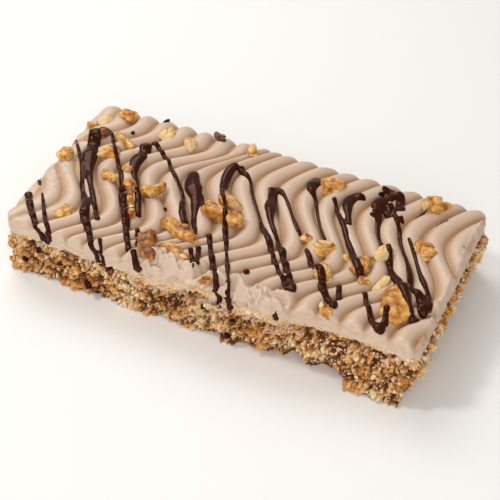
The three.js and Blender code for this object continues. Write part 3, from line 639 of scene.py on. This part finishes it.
def walnut_shape(bm, look, low, high):
    """A knobbly kernel piece from a ball, partly broken, fitted between two corners in mm."""
    heading, curve, slimness, skin, broken, lobes, seed = look
    rng = random.Random(seed)
    start = len(bm.verts)
    bmesh.ops.create_icosphere(bm, subdivisions=5, radius=1)
    bm.verts.ensure_lookup_table()
    verts = bm.verts[start:]
    ball = np.array([vert.co[:] for vert in verts])
    body = np.array([1.0, slimness, slimness])
    lengths = np.linalg.norm(ball * body, axis=1)
    rays = ball * body / lengths[:, None]
    reaches, shades = [0.74 * lengths], [0.0]
    for _ in range(lobes):
        towards = np.array([rng.gauss(0, 1) for _ in range(3)])
        middle = towards / np.linalg.norm(towards) * body * rng.uniform(0.55, 0.75)
        nearest = rays @ middle
        room = (slimness * rng.uniform(0.34, 0.62)) ** 2 - middle @ middle + nearest**2
        reaches.append(nearest + np.sqrt(np.clip(room, 0, None)) + 3 * np.minimum(room, 0))
        shades.append(rng.uniform(-0.2, 0.2))
    reaches = np.array(reaches)
    melt = 0.07 * slimness
    highest = reaches.max(axis=0)
    reach = highest + melt * np.log(np.exp((reaches - highest) / melt).sum(axis=0))
    gap = highest - np.sort(np.append(reaches, [0.3 * lengths], axis=0), axis=0)[-2]
    at = rays * reach[:, None] / slimness
    fold = noise_at(at, 0.6, seed + 0.25)
    # Furrows and the gaps between lobes are dented, and the crease measure also paints shade into them.
    furrow = 0.7 * np.clip(1 - np.abs(fold) / 0.13, 0, 1)
    crease = np.maximum(0.8 * np.clip(1 - gap / (0.12 * slimness), 0, 1), furrow)
    wrinkle = (0.14 * noise_at(at, 0.75, seed + 0.5) + 0.1 * noise_at(at, 0.35, seed + 0.6)
               + 0.035 * noise_at(at, 0.13, seed + 0.75))
    points = rays * (reach + slimness * (wrinkle - 0.12 * crease**1.5))[:, None]
    flesh = np.zeros(len(points))
    solid = lobes < 3
    for i in range(7 if solid else 3):
        facing = np.array([rng.uniform(-1, 1), rng.uniform(-1, 1), rng.uniform(-0.1, 1.0)])
        if solid and i == 0:
            facing[2] = 3.0
        facing /= np.linalg.norm(facing)
        size = np.linalg.norm(facing * body)
        past = points @ facing - size * (rng.uniform(0.42, 0.64) if solid else rng.uniform(0.75, 0.95))
        points -= np.clip(past, 0, None)[:, None] * facing * 0.8
        if rng.random() < broken:
            flesh = np.maximum(flesh, smoothstep(past, 0.0, 0.05))
    points[:, 1] += curve * slimness * (points[:, 0] ** 2 - 0.4)
    turn = np.array(Matrix.Rotation(math.radians(heading), 3, "Z"))
    points = points @ turn.T
    lowest, size = points.min(axis=0), np.ptp(points, axis=0)
    place(verts, low + (points - lowest) / size * (high - low))
    # Painted light and shade: the skin is paler on the raised parts of the wrinkles and darker in their
    # low parts.
    skin_and_wrinkle_shading = skin + np.array(shades)[reaches.argmax(axis=0)] - 1.5 * wrinkle
    store(bm, verts, skin=skin_and_wrinkle_shading, flesh=flesh, crease=crease * (1 - 0.7 * flesh))


def make_walnuts(material):
    """One kernel piece in the place of each walnut solid, sunk a little into the icing."""
    sunk = np.array([0, 0, 1.3])
    for name, look in WALNUT_LOOKS.items():
        low, high = (np.array(corner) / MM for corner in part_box(name))
        bm = new_bmesh(*WALNUT_TONES)
        walnut_shape(bm, look, low - sunk, high)
        finish_piece(name + "_kernel", bm, material, [name])


def make_walnut_bits(material):
    """Small loose bits of walnut, lying on the icing."""
    trees = surfaces_below(["icing"])
    bm = new_bmesh(*WALNUT_TONES)
    for i, (x, y, size, skin) in enumerate(WALNUT_CRUMBS):
        top = top_at(trees, x, y)[0]
        low = np.array([x - 0.5 * size, y - 0.4 * size, top.z - 0.2 * size])
        high = np.array([x + 0.5 * size, y + 0.4 * size, top.z + 0.45 * size])
        walnut_shape(bm, (40 * i, 0.2, 0.7, skin, 0.5, 3, 50 + i), low, high)
    finish_piece("walnut_bits", bm, material)


# ---- drizzle


CLEAR_ABOVE, CLEAR_BEFORE = 60, -80  # the z and y, in mm, where lines to the slice start


def surfaces_below(names):
    """Trees of the named pieces, for finding their surfaces, in metres."""
    depsgraph = bpy.context.evaluated_depsgraph_get()
    depsgraph.update()
    return [BVHTree.FromObject(bpy.data.objects[name], depsgraph) for name in names]


def cast(trees, start, towards):
    """The first place that a line meets, in mm, and the surface's direction there."""
    origin = Vector(start) * MM
    best = None
    for tree in trees:
        hit, normal, _, distance = tree.ray_cast(origin, Vector(towards))
        if hit is not None and (best is None or distance < best[2]):
            best = (hit / MM, normal, distance)
    return best


def top_at(trees, x, y):
    return cast(trees, (x, y, CLEAR_ABOVE), (0, 0, -1))


def front_at(trees, x, z):
    return cast(trees, (x, CLEAR_BEFORE, z), (0, 1, 0))


def smooth_run(points, step):
    """Points about a step apart on a smooth curve through the given ones."""
    knots = np.array(points, float)
    chords = np.linalg.norm(np.diff(knots[:, :2], axis=0), axis=1)
    along = np.concatenate([[0.0], np.cumsum(chords)])
    slopes = np.gradient(knots, along, axis=0)
    at = np.linspace(0.0, along[-1], max(6, int(along[-1] / step)))
    piece = np.clip(np.searchsorted(along, at, side="right") - 1, 0, len(along) - 2)
    span = (along[piece + 1] - along[piece])[:, None]
    t = (at - along[piece])[:, None] / span
    return ((1 + 2 * t) * (1 - t) ** 2 * knots[piece] + t * (1 - t) ** 2 * span * slopes[piece]
            + t * t * (3 - 2 * t) * knots[piece + 1] + t * t * (t - 1) * span * slopes[piece + 1])


def blurred(rows, reach):
    """Each row averaged with its neighbours, the ends held."""
    weights = np.exp(-0.5 * (np.arange(-2 * reach, 2 * reach + 1) / reach) ** 2)
    padded = np.concatenate([rows[:1].repeat(2 * reach, 0), rows, rows[-1:].repeat(2 * reach, 0)])
    return np.stack([np.convolve(column, weights / weights.sum(), "valid") for column in padded.T], 1)


STRAND_STEP = 0.5  # mm along a strand between its rings
STRAND_SIDES = 14


def lay_strand(trees, points):
    """Where a strand lies: its middle line, the direction out of the surface, and widths."""
    run = smooth_run(points, STRAND_STEP)
    middles, outs = [], []
    for x, y, _ in run:
        over = -edge_distances(x, y)[0] - 0.4
        if over <= 0:
            hit = top_at(trees, x, y)
        else:
            edge = top_at(trees, x, y + over + 0.8)
            hit = front_at(trees, x, edge[0].z - 0.8 * over) or edge
        middles.append(hit[0])
        outs.append(hit[1])
    middles, outs = np.array(middles), np.array(outs)
    bridged = blurred(middles, 5)
    hanging = smoothstep(-edge_distances(run[:, 0], run[:, 1])[0], -1.5, 1.0)
    bridged[:, 1] = np.where(hanging > 0.5, np.minimum(bridged[:, 1], middles[:, 1]), bridged[:, 1])
    bridged[:, 2] = np.where(hanging > 0.5, bridged[:, 2], np.maximum(bridged[:, 2], middles[:, 2]))
    upward = np.stack([np.zeros_like(hanging), -hanging, 1.001 - hanging], axis=1)
    outs = blurred(0.35 * outs + upward, 4)
    outs /= np.linalg.norm(outs, axis=1)[:, None]
    return bridged, outs, run[:, 2]


def strand_tube(bm, middles, outs, widths, seed):
    """A closed tube along a strand, flat where it is wide, with round ends."""
    count = len(middles)
    start = len(bm.verts)
    bmesh.ops.create_grid(bm, x_segments=STRAND_SIDES, y_segments=count - 1, size=1)
    bm.verts.ensure_lookup_table()
    verts = bm.verts[start:]
    u = np.array([vert.co.x for vert in verts])
    row = np.rint((np.array([vert.co.y for vert in verts]) + 1) / 2 * (count - 1)).astype(int)
    ahead = np.gradient(middles, axis=0)
    ahead /= np.linalg.norm(ahead, axis=1)[:, None]
    across = np.cross(ahead, outs)
    across /= np.linalg.norm(across, axis=1)[:, None]
    from_end = np.minimum(np.arange(count), np.arange(count)[::-1]) * STRAND_STEP
    cap = np.sqrt(1 - (1 - np.clip(from_end / (0.55 * widths), 0, 1)) ** 2)
    uneven = 0.16 * noise_at(middles, 3.8, seed) + 0.06 * noise_at(middles, 1.6, seed)
    uneven = 1.04 + uneven * np.minimum(1, 2.5 / widths)
    half = 0.58 * widths * uneven * cap
    rise = np.minimum(0.5 * widths, 0.6 + 0.16 * widths) * uneven * cap
    sink = np.minimum(0.9 + 0.2 * widths, 2.0) * cap
    angle = np.pi * (u + 1)
    height = np.where(np.sin(angle) > 0, rise[row], sink[row]) * np.sin(angle)
    ring = middles[row] + across[row] * (half[row] * np.cos(angle))[:, None]
    place(verts, ring + outs[row] * height[:, None])


def make_drizzle(name, strands, drops, trees, settings, material):
    """Strands of chocolate, melted into one another where they meet."""
    bm = bmesh.new()
    for i, points in enumerate(strands):
        middles, outs, widths = lay_strand(trees, points)
        strand_tube(bm, middles, outs, widths, i)
    for x, y, width in drops:
        hit = top_at(trees, x, y)
        bmesh.ops.create_icosphere(
            bm, subdivisions=3, radius=1,
            matrix=Matrix.Translation(hit[0] + Vector((0, 0, 0.2 * width)))
            @ Matrix.Diagonal((width / 2, width / 2, width * 0.4, 1)))
    bmesh.ops.remove_doubles(bm, verts=bm.verts, dist=0.001)
    bmesh.ops.recalc_face_normals(bm, faces=bm.faces)
    piece = finish_piece(name, bm, material)
    melt = piece.modifiers.new("melt", "REMESH")
    melt.mode = "VOXEL"
    melt.voxel_size = settings.fineness
    settle = piece.modifiers.new("settle", "SMOOTH")
    settle.factor = 0.5
    settle.iterations = 3
    evaluated = piece.evaluated_get(bpy.context.evaluated_depsgraph_get())
    mesh = bpy.data.meshes.new_from_object(evaluated)
    piece.modifiers.clear()
    piece.data = mesh
    mesh.shade_smooth()


# ---- oat base


def outline_at(share):
    """Place and outward direction at shares of the way round the slice's unskewed plan."""
    a, b = HALF_LENGTH - CORNER_RADIUS, HALF_WIDTH - CORNER_RADIUS
    quarter = CORNER_RADIUS * math.pi / 2
    steps = np.cumsum([0, 2 * b, quarter, 2 * a, quarter, 2 * b, quarter, 2 * a, quarter])
    at = share * steps[-1]
    middle_x = np.interp(at, steps, [a, a, a, -a, -a, -a, -a, a, a])
    middle_y = np.interp(at, steps, [-b, b, b, b, b, -b, -b, -b, -b])
    angle = np.interp(at, steps, np.radians([0, 0, 90, 90, 180, 180, 270, 270, 360]))
    out = np.stack([np.cos(angle), np.sin(angle)], axis=1)
    return np.stack([middle_x, middle_y], axis=1) + CORNER_RADIUS * out, out


def make_base(settings, material):
    """The base: crumbled sides in lumps and cracks, pieces broken from the foot, flat below."""
    bm = new_bmesh("tint", "pit")
    bmesh.ops.create_grid(bm, x_segments=settings.columns, y_segments=settings.rows, size=1)
    u = np.array([vert.co.x for vert in bm.verts])
    v = np.array([vert.co.y for vert in bm.verts])
    plan, out = outline_at((u + 1) / 2)
    z = (v + 1) / 2 * (BASE_TOP + 6.0)
    wall = np.stack([plan[:, 0], plan[:, 1], z], axis=1)

    low = np.clip(1 - z / BASE_TOP, 0, 1) ** 2
    ends = [np.where(out[:, 0] > 0, side["right"], side["left"]) for side in (BASE_INSET, FOOT_SETBACK)]
    faces = [np.where(out[:, 1] > 0, side["back"], side["front"]) for side in (BASE_INSET, FOOT_SETBACK)]
    in_front = out[:, 1] < 0
    inset_x = ends[0] + ends[1] * low
    inset_y = faces[0] + faces[1] * low + in_front * (
        stepped(plan[:, 0], FRONT_FOOT) * low + stepped(plan[:, 0], FRONT_BULGE)
        + stepped(plan[:, 0], CUT_BACK) * smoothstep(z, BASE_TOP - 9, BASE_TOP))
    facing_right = np.clip(out[:, 0], 0, 1)
    above = z - BASE_TOP - 1.5 * facing_right - in_front * stepped(plan[:, 0], CRUMB_CLIMB)
    worn = (1 + 1.6 * facing_right) * smoothstep(above, -3.0, 0.4)
    crack, _, lump_tint = cells_at(wall + 2.0 * noise_at(wall, 4.0, 6)[:, None], 8.0, 3)
    gap = 1 - smoothstep(crack, 0.0, 0.2)
    _, clump, clump_tint = cells_at(wall + 0.8 * noise_at(wall, 1.6, 8)[:, None], 2.5, 1)
    _, crumb, crumb_tint = cells_at(wall, 1.2, 2)
    relief = (0.9 * noise_at(wall, 9.0, 3) - 1.4 * gap + 0.6 * (lump_tint - 0.4)
              + 1.1 * (clump - 0.7) + 1.5 * (clump_tint - 0.5) + 0.5 * noise_at(wall, 2.4, 7)
              + 0.6 * (crumb - 0.7) + 0.9 * (crumb_tint - 0.5) + 0.3 * noise_at(wall, 0.9, 4))
    inside_icing = np.clip(above / 3.0, 0, 1)
    reach = relief * (1 - 0.5 * inside_icing) - 1.2 * inside_icing - worn
    x = plan[:, 0] + out[:, 0] * (reach - inset_x)
    y = plan[:, 1] + out[:, 1] * (reach - inset_y)
    for middle, height, deep, half, high in HOLLOWS:
        q = 1 - ((x - middle) / half) ** 2 - ((z - height) / high) ** 2
        hollow = -HALF_WIDTH + deep * np.sqrt(np.clip(q, 0, 1)) + relief * 0.5
        y = np.where((q > 0) & (out[:, 1] < -0.5), np.maximum(y, hollow), y)
    z = np.where(z < 0.4, np.clip(1.3 * noise_at(wall, 5.0, 5) * (out[:, 1] < -0.5), 0, 1), z)
    place(bm.verts, np.stack([x, y - SIDE_SKEW * x / HALF_LENGTH, z], 1))
    # Painted shade: the pit value is dark where the relief lies low, in the cracks and hollows; the tint
    # is each cell's own tone.
    store(bm, bm.verts, tint=0.4 * clump_tint + 0.6 * crumb_tint,
          pit=0.9 * smoothstep(-relief, 0.6, 2.2))
    bmesh.ops.remove_doubles(bm, verts=bm.verts, dist=0.001)
    for top in (False, True):
        loop = [e for e in bm.edges if e.is_boundary and (e.verts[0].co.z > BASE_TOP) == top]
        bmesh.ops.contextual_create(bm, geom=loop)
    bmesh.ops.recalc_face_normals(bm, faces=bm.faces)
    finish_piece("oat_base_crumb", bm, material, ["oat_base"])


def side_spots(rng, name, count, low, high):
    """Random places on a piece's sides, with the way the side faces. Heights are from the line
    that the crumb reaches up to."""
    polygons = bpy.data.objects[name].data.polygons
    middles, facings = np.empty((2, len(polygons), 3))
    polygons.foreach_get("center", middles.ravel())
    polygons.foreach_get("normal", facings.ravel())
    middles /= MM
    edge = BASE_TOP + stepped(middles[:, 0], CRUMB_CLIMB) * (facings[:, 1] < -0.5)
    above = middles[:, 2] - edge
    fitting = (middles[:, 2] > 0.5) & (above > low) & (above < high) & (np.abs(facings[:, 2]) < 0.95)
    # Sorted by place, because the order of the faces differs from run to run.
    faces = np.flatnonzero(fitting)
    faces = faces[np.lexsort(np.round(middles[faces], 3).T)]
    for i in rng.sample(list(faces), count):
        yield Vector(middles[i]), Vector(facings[i])


SCATTER_BATCH = 80  # pieces made in one small mesh at a time, which is quicker


def scatter(name, places, material, detail, roughness, tilt, sink):
    """Many small lumps or flakes joined into one piece: places are (spot, facing, sizes, tint)."""
    rng = random.Random(42)
    noise.seed_set(42)  # for noise_vector, which otherwise differs from run to run
    batch_mesh = bpy.data.meshes.new(name)
    whole = new_bmesh("tint", "pit")
    for first in range(0, len(places), SCATTER_BATCH):
        batch = new_bmesh("tint", "pit")
        tint = batch.verts.layers.float["tint"]
        for spot, facing, sizes, shade in places[first : first + SCATTER_BATCH]:
            lean = Vector([rng.uniform(-1, 1) for _ in range(3)]) * tilt
            turn = (facing + lean).to_track_quat("Z", "Y").to_matrix()
            turn = turn @ Matrix.Rotation(rng.uniform(0, math.tau), 3, "Z")
            matrix = Matrix.Translation(spot - facing * sink * sizes[2]) @ turn.to_4x4()
            made = bmesh.ops.create_icosphere(
                batch, subdivisions=detail, radius=0.5, matrix=matrix @ Matrix.Diagonal((*sizes, 1)))
            for vert in made["verts"]:
                vert[tint] = shade
                vert.co += noise.noise_vector(vert.co / (0.35 * sizes[0])) * roughness * sizes[2]
        batch.to_mesh(batch_mesh)
        batch.free()
        whole.from_mesh(batch_mesh)
    bpy.data.meshes.remove(batch_mesh)
    for vert in whole.verts:
        vert.co.z = max(vert.co.z, 0.0)
    finish_piece(name, whole, material, smooth=detail > 2)


def make_flakes(rng, settings):
    """Rolled oat flakes, set at all angles in the sides of the base."""
    flakes = []
    for spot, facing in side_spots(rng, "oat_base_crumb", settings.flakes, -20, 1.0):
        length = rng.uniform(1.4, 2.8)
        sizes = (length, length * rng.uniform(0.5, 0.8), rng.uniform(0.7, 1.2))
        flakes.append((spot, facing, sizes, rng.random()))
    material = oat_material("rolled_oat_flakes", settings, 0.22)
    scatter("oat_flakes", flakes, material,
            detail=2, roughness=0.4, tilt=0.8, sink=0.35)


def make_crumbs(rng, settings):
    """Crumbs of two sizes on the sides of the base, with strays stuck low on the icing."""
    material = oat_material("toasted_crumbs", settings, 0.1)
    strays = settings.stray_crumbs
    for name, count, low, high in (("oat_crumbs", settings.crumbs, 0.8, 1.8),
                                   ("fine_crumbs", settings.fine_crumbs, 0.4, 0.9)):
        spots = list(side_spots(rng, "oat_base_crumb", count, -20, 1.5))
        spots += side_spots(rng, "icing", strays // 2, -3, 1.2)
        spots += [(spot, facing) for spot, facing in side_spots(rng, "icing", 2 * strays, -3, 3.5)
                  if facing.y < 0 and rng.random() < 0.5 * torn_share(spot.x)]
        crumbs = []
        for spot, facing in spots:
            size = rng.uniform(low, high)
            sizes = (size, size * rng.uniform(0.6, 1.0), size * rng.uniform(0.5, 0.9))
            crumbs.append((spot, facing, sizes, rng.uniform(0.2, 1.0)))
        scatter(name, crumbs, material,
                detail=1, roughness=0.45, tilt=1.5, sink=0.2)


def make_smears(rng, settings, material):
    """Dabs of icing dragged onto the crumb's upper edge, most where the front is torn."""
    smears = []
    for spot, facing in side_spots(rng, "oat_base_crumb", settings.smears, -5.5, 1.5):
        if facing.y < 0 and rng.random() < 0.15 + torn_share(spot.x):
            length = rng.uniform(1.0, 4.0)
            smears.append((spot, facing, (length, length * rng.uniform(0.3, 0.7), 0.9), 0.0))
    scatter("icing_smears", smears, material,
            detail=2, roughness=0.6, tilt=0.5, sink=0.0)


def make_chips_and_hole_shade(material):
    """Dark chips in the front of the base, in the chocolate's material: partly chocolate drips, partly
    painted shade standing in for dark holes.
    """
    trees = surfaces_below(["oat_base_crumb"])
    chips = []
    for x, z, size in CHIPS_AND_HOLE_SHADE:
        spot, facing, _ = front_at(trees, x, z)
        spot.y = min(spot.y, -HALF_WIDTH - SIDE_SKEW * x / HALF_LENGTH)
        chips.append((spot, facing, (size, 0.8 * size, 0.6 * size), 0.0))
    scatter("dark_chips", chips, material,
            detail=3, roughness=0.3, tilt=0.3, sink=0.1)


# ---- stage


def make_floor(settings):
    """A matt painted board, its sheen a little uneven."""
    material, add, place_on = new_material("pale_board")
    mottle = add("TexNoise", {"Vector": place_on, "Scale": per_metre(60), "Detail": 2.0})
    rough = add("MapRange", {"Value": mottle, "To Min": 0.75, "To Max": 0.85})
    finish_material(material, add, {"Base Color": settings.floor, "Roughness": rough})
    bm = bmesh.new()
    bmesh.ops.create_grid(bm, x_segments=1, y_segments=1, size=2.0)
    mesh = bpy.data.meshes.new("floor")
    bm.to_mesh(mesh)
    bm.free()
    mesh.materials.append(material)
    floor = bpy.data.objects.new("floor", mesh)
    bpy.context.scene.collection.objects.link(floor)
    floor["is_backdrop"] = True


def make_lights(settings):
    """A large soft light at the back left with a small one in it for glints, a weaker one at
    the front, and a pale sky."""
    for name, spot, size, power in (
        ("key", (-0.45, 0.40, 0.75), 0.55, settings.key_power),
        ("glint", (-0.48, -0.20, 0.74), 0.13, settings.glint_power),
        ("fill", (0.35, -0.80, 0.55), 0.8, settings.fill_power),
    ):
        lamp = bpy.data.lights.new(name, "AREA")
        lamp.size = size
        lamp.energy = power
        light = bpy.data.objects.new(name, lamp)
        light.location = spot
        light.rotation_euler = (-Vector(spot)).to_track_quat("-Z", "Y").to_euler()
        bpy.context.scene.collection.objects.link(light)
    world = bpy.data.worlds.new("pale_surroundings")
    world.use_nodes = True
    background = world.node_tree.nodes["Background"]
    background.inputs["Color"].default_value = (1.0, 0.965, 0.92, 1.0)
    background.inputs["Strength"].default_value = settings.sky
    bpy.context.scene.world = world
    bpy.context.scene.view_settings.view_transform = "Standard"


def make_camera():
    azimuth, elevation = math.radians(CAMERA_AZIMUTH), math.radians(CAMERA_ELEVATION)
    back = Vector((math.sin(azimuth) * math.cos(elevation),
                   -math.cos(azimuth) * math.cos(elevation), math.sin(elevation)))
    lens = bpy.data.cameras.new("camera")
    lens.lens = CAMERA_LENS
    lens.sensor_width = 36.0
    camera = bpy.data.objects.new("camera", lens)
    camera.location = (Vector(CAMERA_TARGET) + back * CAMERA_DISTANCE) * MM
    camera.rotation_euler = (-back).to_track_quat("-Z", "Y").to_euler()
    bpy.context.scene.collection.objects.link(camera)
    bpy.context.scene.camera = camera


# ---- settings


def count_property(name, description, default):
    return bpy.props.IntProperty(name=name, description=description, default=default, min=0)


def length_property(name, description, default):
    return bpy.props.FloatProperty(
        name=name, description=description, default=default, min=0.1 * MM, unit="LENGTH",
        subtype="DISTANCE")


def power_property(name, description, default):
    return bpy.props.FloatProperty(
        name=name, description=description, default=default, min=0.0, unit="POWER")


def colour_property(name, description, hex_colour):
    return bpy.props.FloatVectorProperty(
        name=name, description=description, subtype="COLOR", size=4, min=0.0, max=1.0,
        default=linear(hex_colour))


class IcingSettings(bpy.types.PropertyGroup):
    ridge_depth: length_property("Ridge Depth", "Depth of the combed grooves", RIDGE_DEPTH * MM)
    columns: count_property("Columns", "Faces along the slice", 420)
    rows: count_property("Rows", "Faces across the slice", 150)
    crest: colour_property("Crest", "Crests of the ridges", "#d7bca6")
    crest_shade: colour_property("Crest Shade", "Second colour that mottles them", "#ceb199")
    # Painted shade: the darker, warmer colour deep in the grooves and fold hollows.
    groove: colour_property("Groove", "Deep in the grooves", "#ad8150")
    smear: colour_property("Smear", "Where a knife smeared the icing", "#dac2ac")


class DrizzleSettings(bpy.types.PropertyGroup):
    fineness: length_property("Fineness", "Cells in which strands melt together", 0.38 * MM)
    dark: colour_property("Dark", "Darker tone of the chocolate", "#230a04")
    light: colour_property("Light", "Lighter tone of the chocolate", "#421707")


class WalnutSettings(bpy.types.PropertyGroup):
    skin_pale: colour_property("Pale Skin", "Skin of the palest pieces", "#ecc079")
    skin_gold: colour_property("Golden Skin", "Skin of golden pieces", "#d2923d")
    skin_brown: colour_property("Brown Skin", "Skin of brown pieces", "#a35c24")
    skin_dark: colour_property("Dark Skin", "Skin of the darkest pieces", "#4a2312")
    # Painted shade for the creases between the lobes and the furrows.
    crease: colour_property("Crease", "Creases between the lobes", "#7a3d14")
    flesh: colour_property("Flesh", "Broken flesh", "#f3ddae")
    flesh_shade: colour_property("Flesh Shade", "Second colour of broken flesh", "#dfb26a")


class BaseSettings(bpy.types.PropertyGroup):
    columns: count_property("Columns", "Faces round the base", 1400)
    rows: count_property("Rows", "Faces up the side of the base", 68)
    flakes: count_property("Flakes", "Rolled oat flakes on the sides", 1000)
    crumbs: count_property("Crumbs", "Crumbs on the sides", 5500)
    fine_crumbs: count_property("Fine Crumbs", "The finest crumbs on the sides", 8500)
    stray_crumbs: count_property("Stray Crumbs", "Crumbs stuck low on the icing", 1000)
    smears: count_property("Smears", "Places tried for dabs of icing on the crumb", 3000)
    pale: colour_property("Pale Oat", "Palest flakes", "#f6e2bf")
    oat: colour_property("Oat", "Light flakes", "#e7bb82")
    golden: colour_property("Golden", "Golden crumb", "#d3924b")
    toasted: colour_property("Toasted", "Toasted crumb", "#b66d2e")
    # Painted shade for the cracks and hollows of the base.
    crack: colour_property("Crack", "Dark cracks between the lumps", "#521e06")


class StageSettings(bpy.types.PropertyGroup):
    floor: colour_property("Floor", "Colour of the floor", "#f4f2ef")
    key_power: power_property("Key Light", "Large light at the back left", 3.5)
    glint_power: power_property("Glint Light", "Small light that makes wet glints", 2.2)
    fill_power: power_property("Fill Light", "Light at the front", 4.4)
    sky: bpy.props.FloatProperty(
        name="Sky", description="Strength of the pale surroundings", default=0.42, min=0.0)


# ---- operators, panel and registering


class SLICE_OT_icing(bpy.types.Operator):
    """Combed fudge icing"""

    bl_idname = "slice.icing"
    bl_label = "Icing"

    def execute(self, context):
        settings = context.scene.slice_icing
        make_icing(settings, icing_material(settings))
        return {"FINISHED"}


class SLICE_OT_walnuts(bpy.types.Operator):
    """Walnut pieces pressed into the icing, and their small bits"""

    bl_idname = "slice.walnuts"
    bl_label = "Walnut Pieces"

    def execute(self, context):
        material = walnut_material(context.scene.slice_walnut)
        make_walnuts(material)
        make_walnut_bits(material)
        return {"FINISHED"}


class SLICE_OT_drizzle(bpy.types.Operator):
    """Dark chocolate drizzle over the icing and the walnut pieces"""

    bl_idname = "slice.drizzle"
    bl_label = "Chocolate Drizzle"

    def execute(self, context):
        settings = context.scene.slice_drizzle
        material = chocolate_material(settings)
        kernels = [name + "_kernel" for name in WALNUT_LOOKS]
        trees = surfaces_below(["oat_base_crumb", "icing", *kernels])
        for side, strands in STRANDS.items():
            make_drizzle("drizzle_" + side, strands, DROPS[side], trees, settings, material)
        return {"FINISHED"}


class SLICE_OT_base(bpy.types.Operator):
    """Oat base with its flakes and crumbs"""

    bl_idname = "slice.base"
    bl_label = "Oat Base"

    def execute(self, context):
        scene = context.scene
        settings = scene.slice_base
        rng = random.Random(41)
        make_base(settings, oat_material("baked_oat_crumb", settings, 0.0))
        make_flakes(rng, settings)
        make_crumbs(rng, settings)
        make_smears(rng, settings, icing_material(scene.slice_icing))
        make_chips_and_hole_shade(chocolate_material(scene.slice_drizzle))
        return {"FINISHED"}


class SLICE_OT_stage(bpy.types.Operator):
    """Plain pale floor, soft lights and the camera"""

    bl_idname = "slice.stage"
    bl_label = "Stage"

    def execute(self, context):
        settings = context.scene.slice_stage
        make_floor(settings)
        make_lights(settings)
        make_camera()
        return {"FINISHED"}


class SLICE_PT_panel(bpy.types.Panel):
    """The steps that build the slice, in order"""

    bl_label = "Fudge Slice"
    bl_space_type = "VIEW_3D"
    bl_region_type = "UI"
    bl_category = "Fudge Slice"

    def draw(self, context):
        for step in STEPS:
            self.layout.operator(step.bl_idname)


SETTINGS = {
    "slice_icing": IcingSettings,
    "slice_drizzle": DrizzleSettings,
    "slice_walnut": WalnutSettings,
    "slice_base": BaseSettings,
    "slice_stage": StageSettings,
}
STEPS = (SLICE_OT_icing, SLICE_OT_base, SLICE_OT_walnuts, SLICE_OT_drizzle, SLICE_OT_stage)
add_classes, remove_classes = bpy.utils.register_classes_factory(
    (*SETTINGS.values(), *STEPS, SLICE_PT_panel))


def register():
    add_classes()
    for name, group in SETTINGS.items():
        setattr(bpy.types.Scene, name, bpy.props.PointerProperty(type=group))


def unregister():
    for name in SETTINGS:
        delattr(bpy.types.Scene, name)
    remove_classes()


def main():
    register()
    bpy.ops.slice.icing()
    bpy.ops.slice.base()
    bpy.ops.slice.walnuts()
    bpy.ops.slice.drizzle()
    bpy.ops.slice.stage()
    sizes = {"cad": CAD_BOX, "visual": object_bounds()}
    {name: [list(low), list(high)] for name, (low, high) in sizes.items()}


if __name__ == "__main__":
    main()
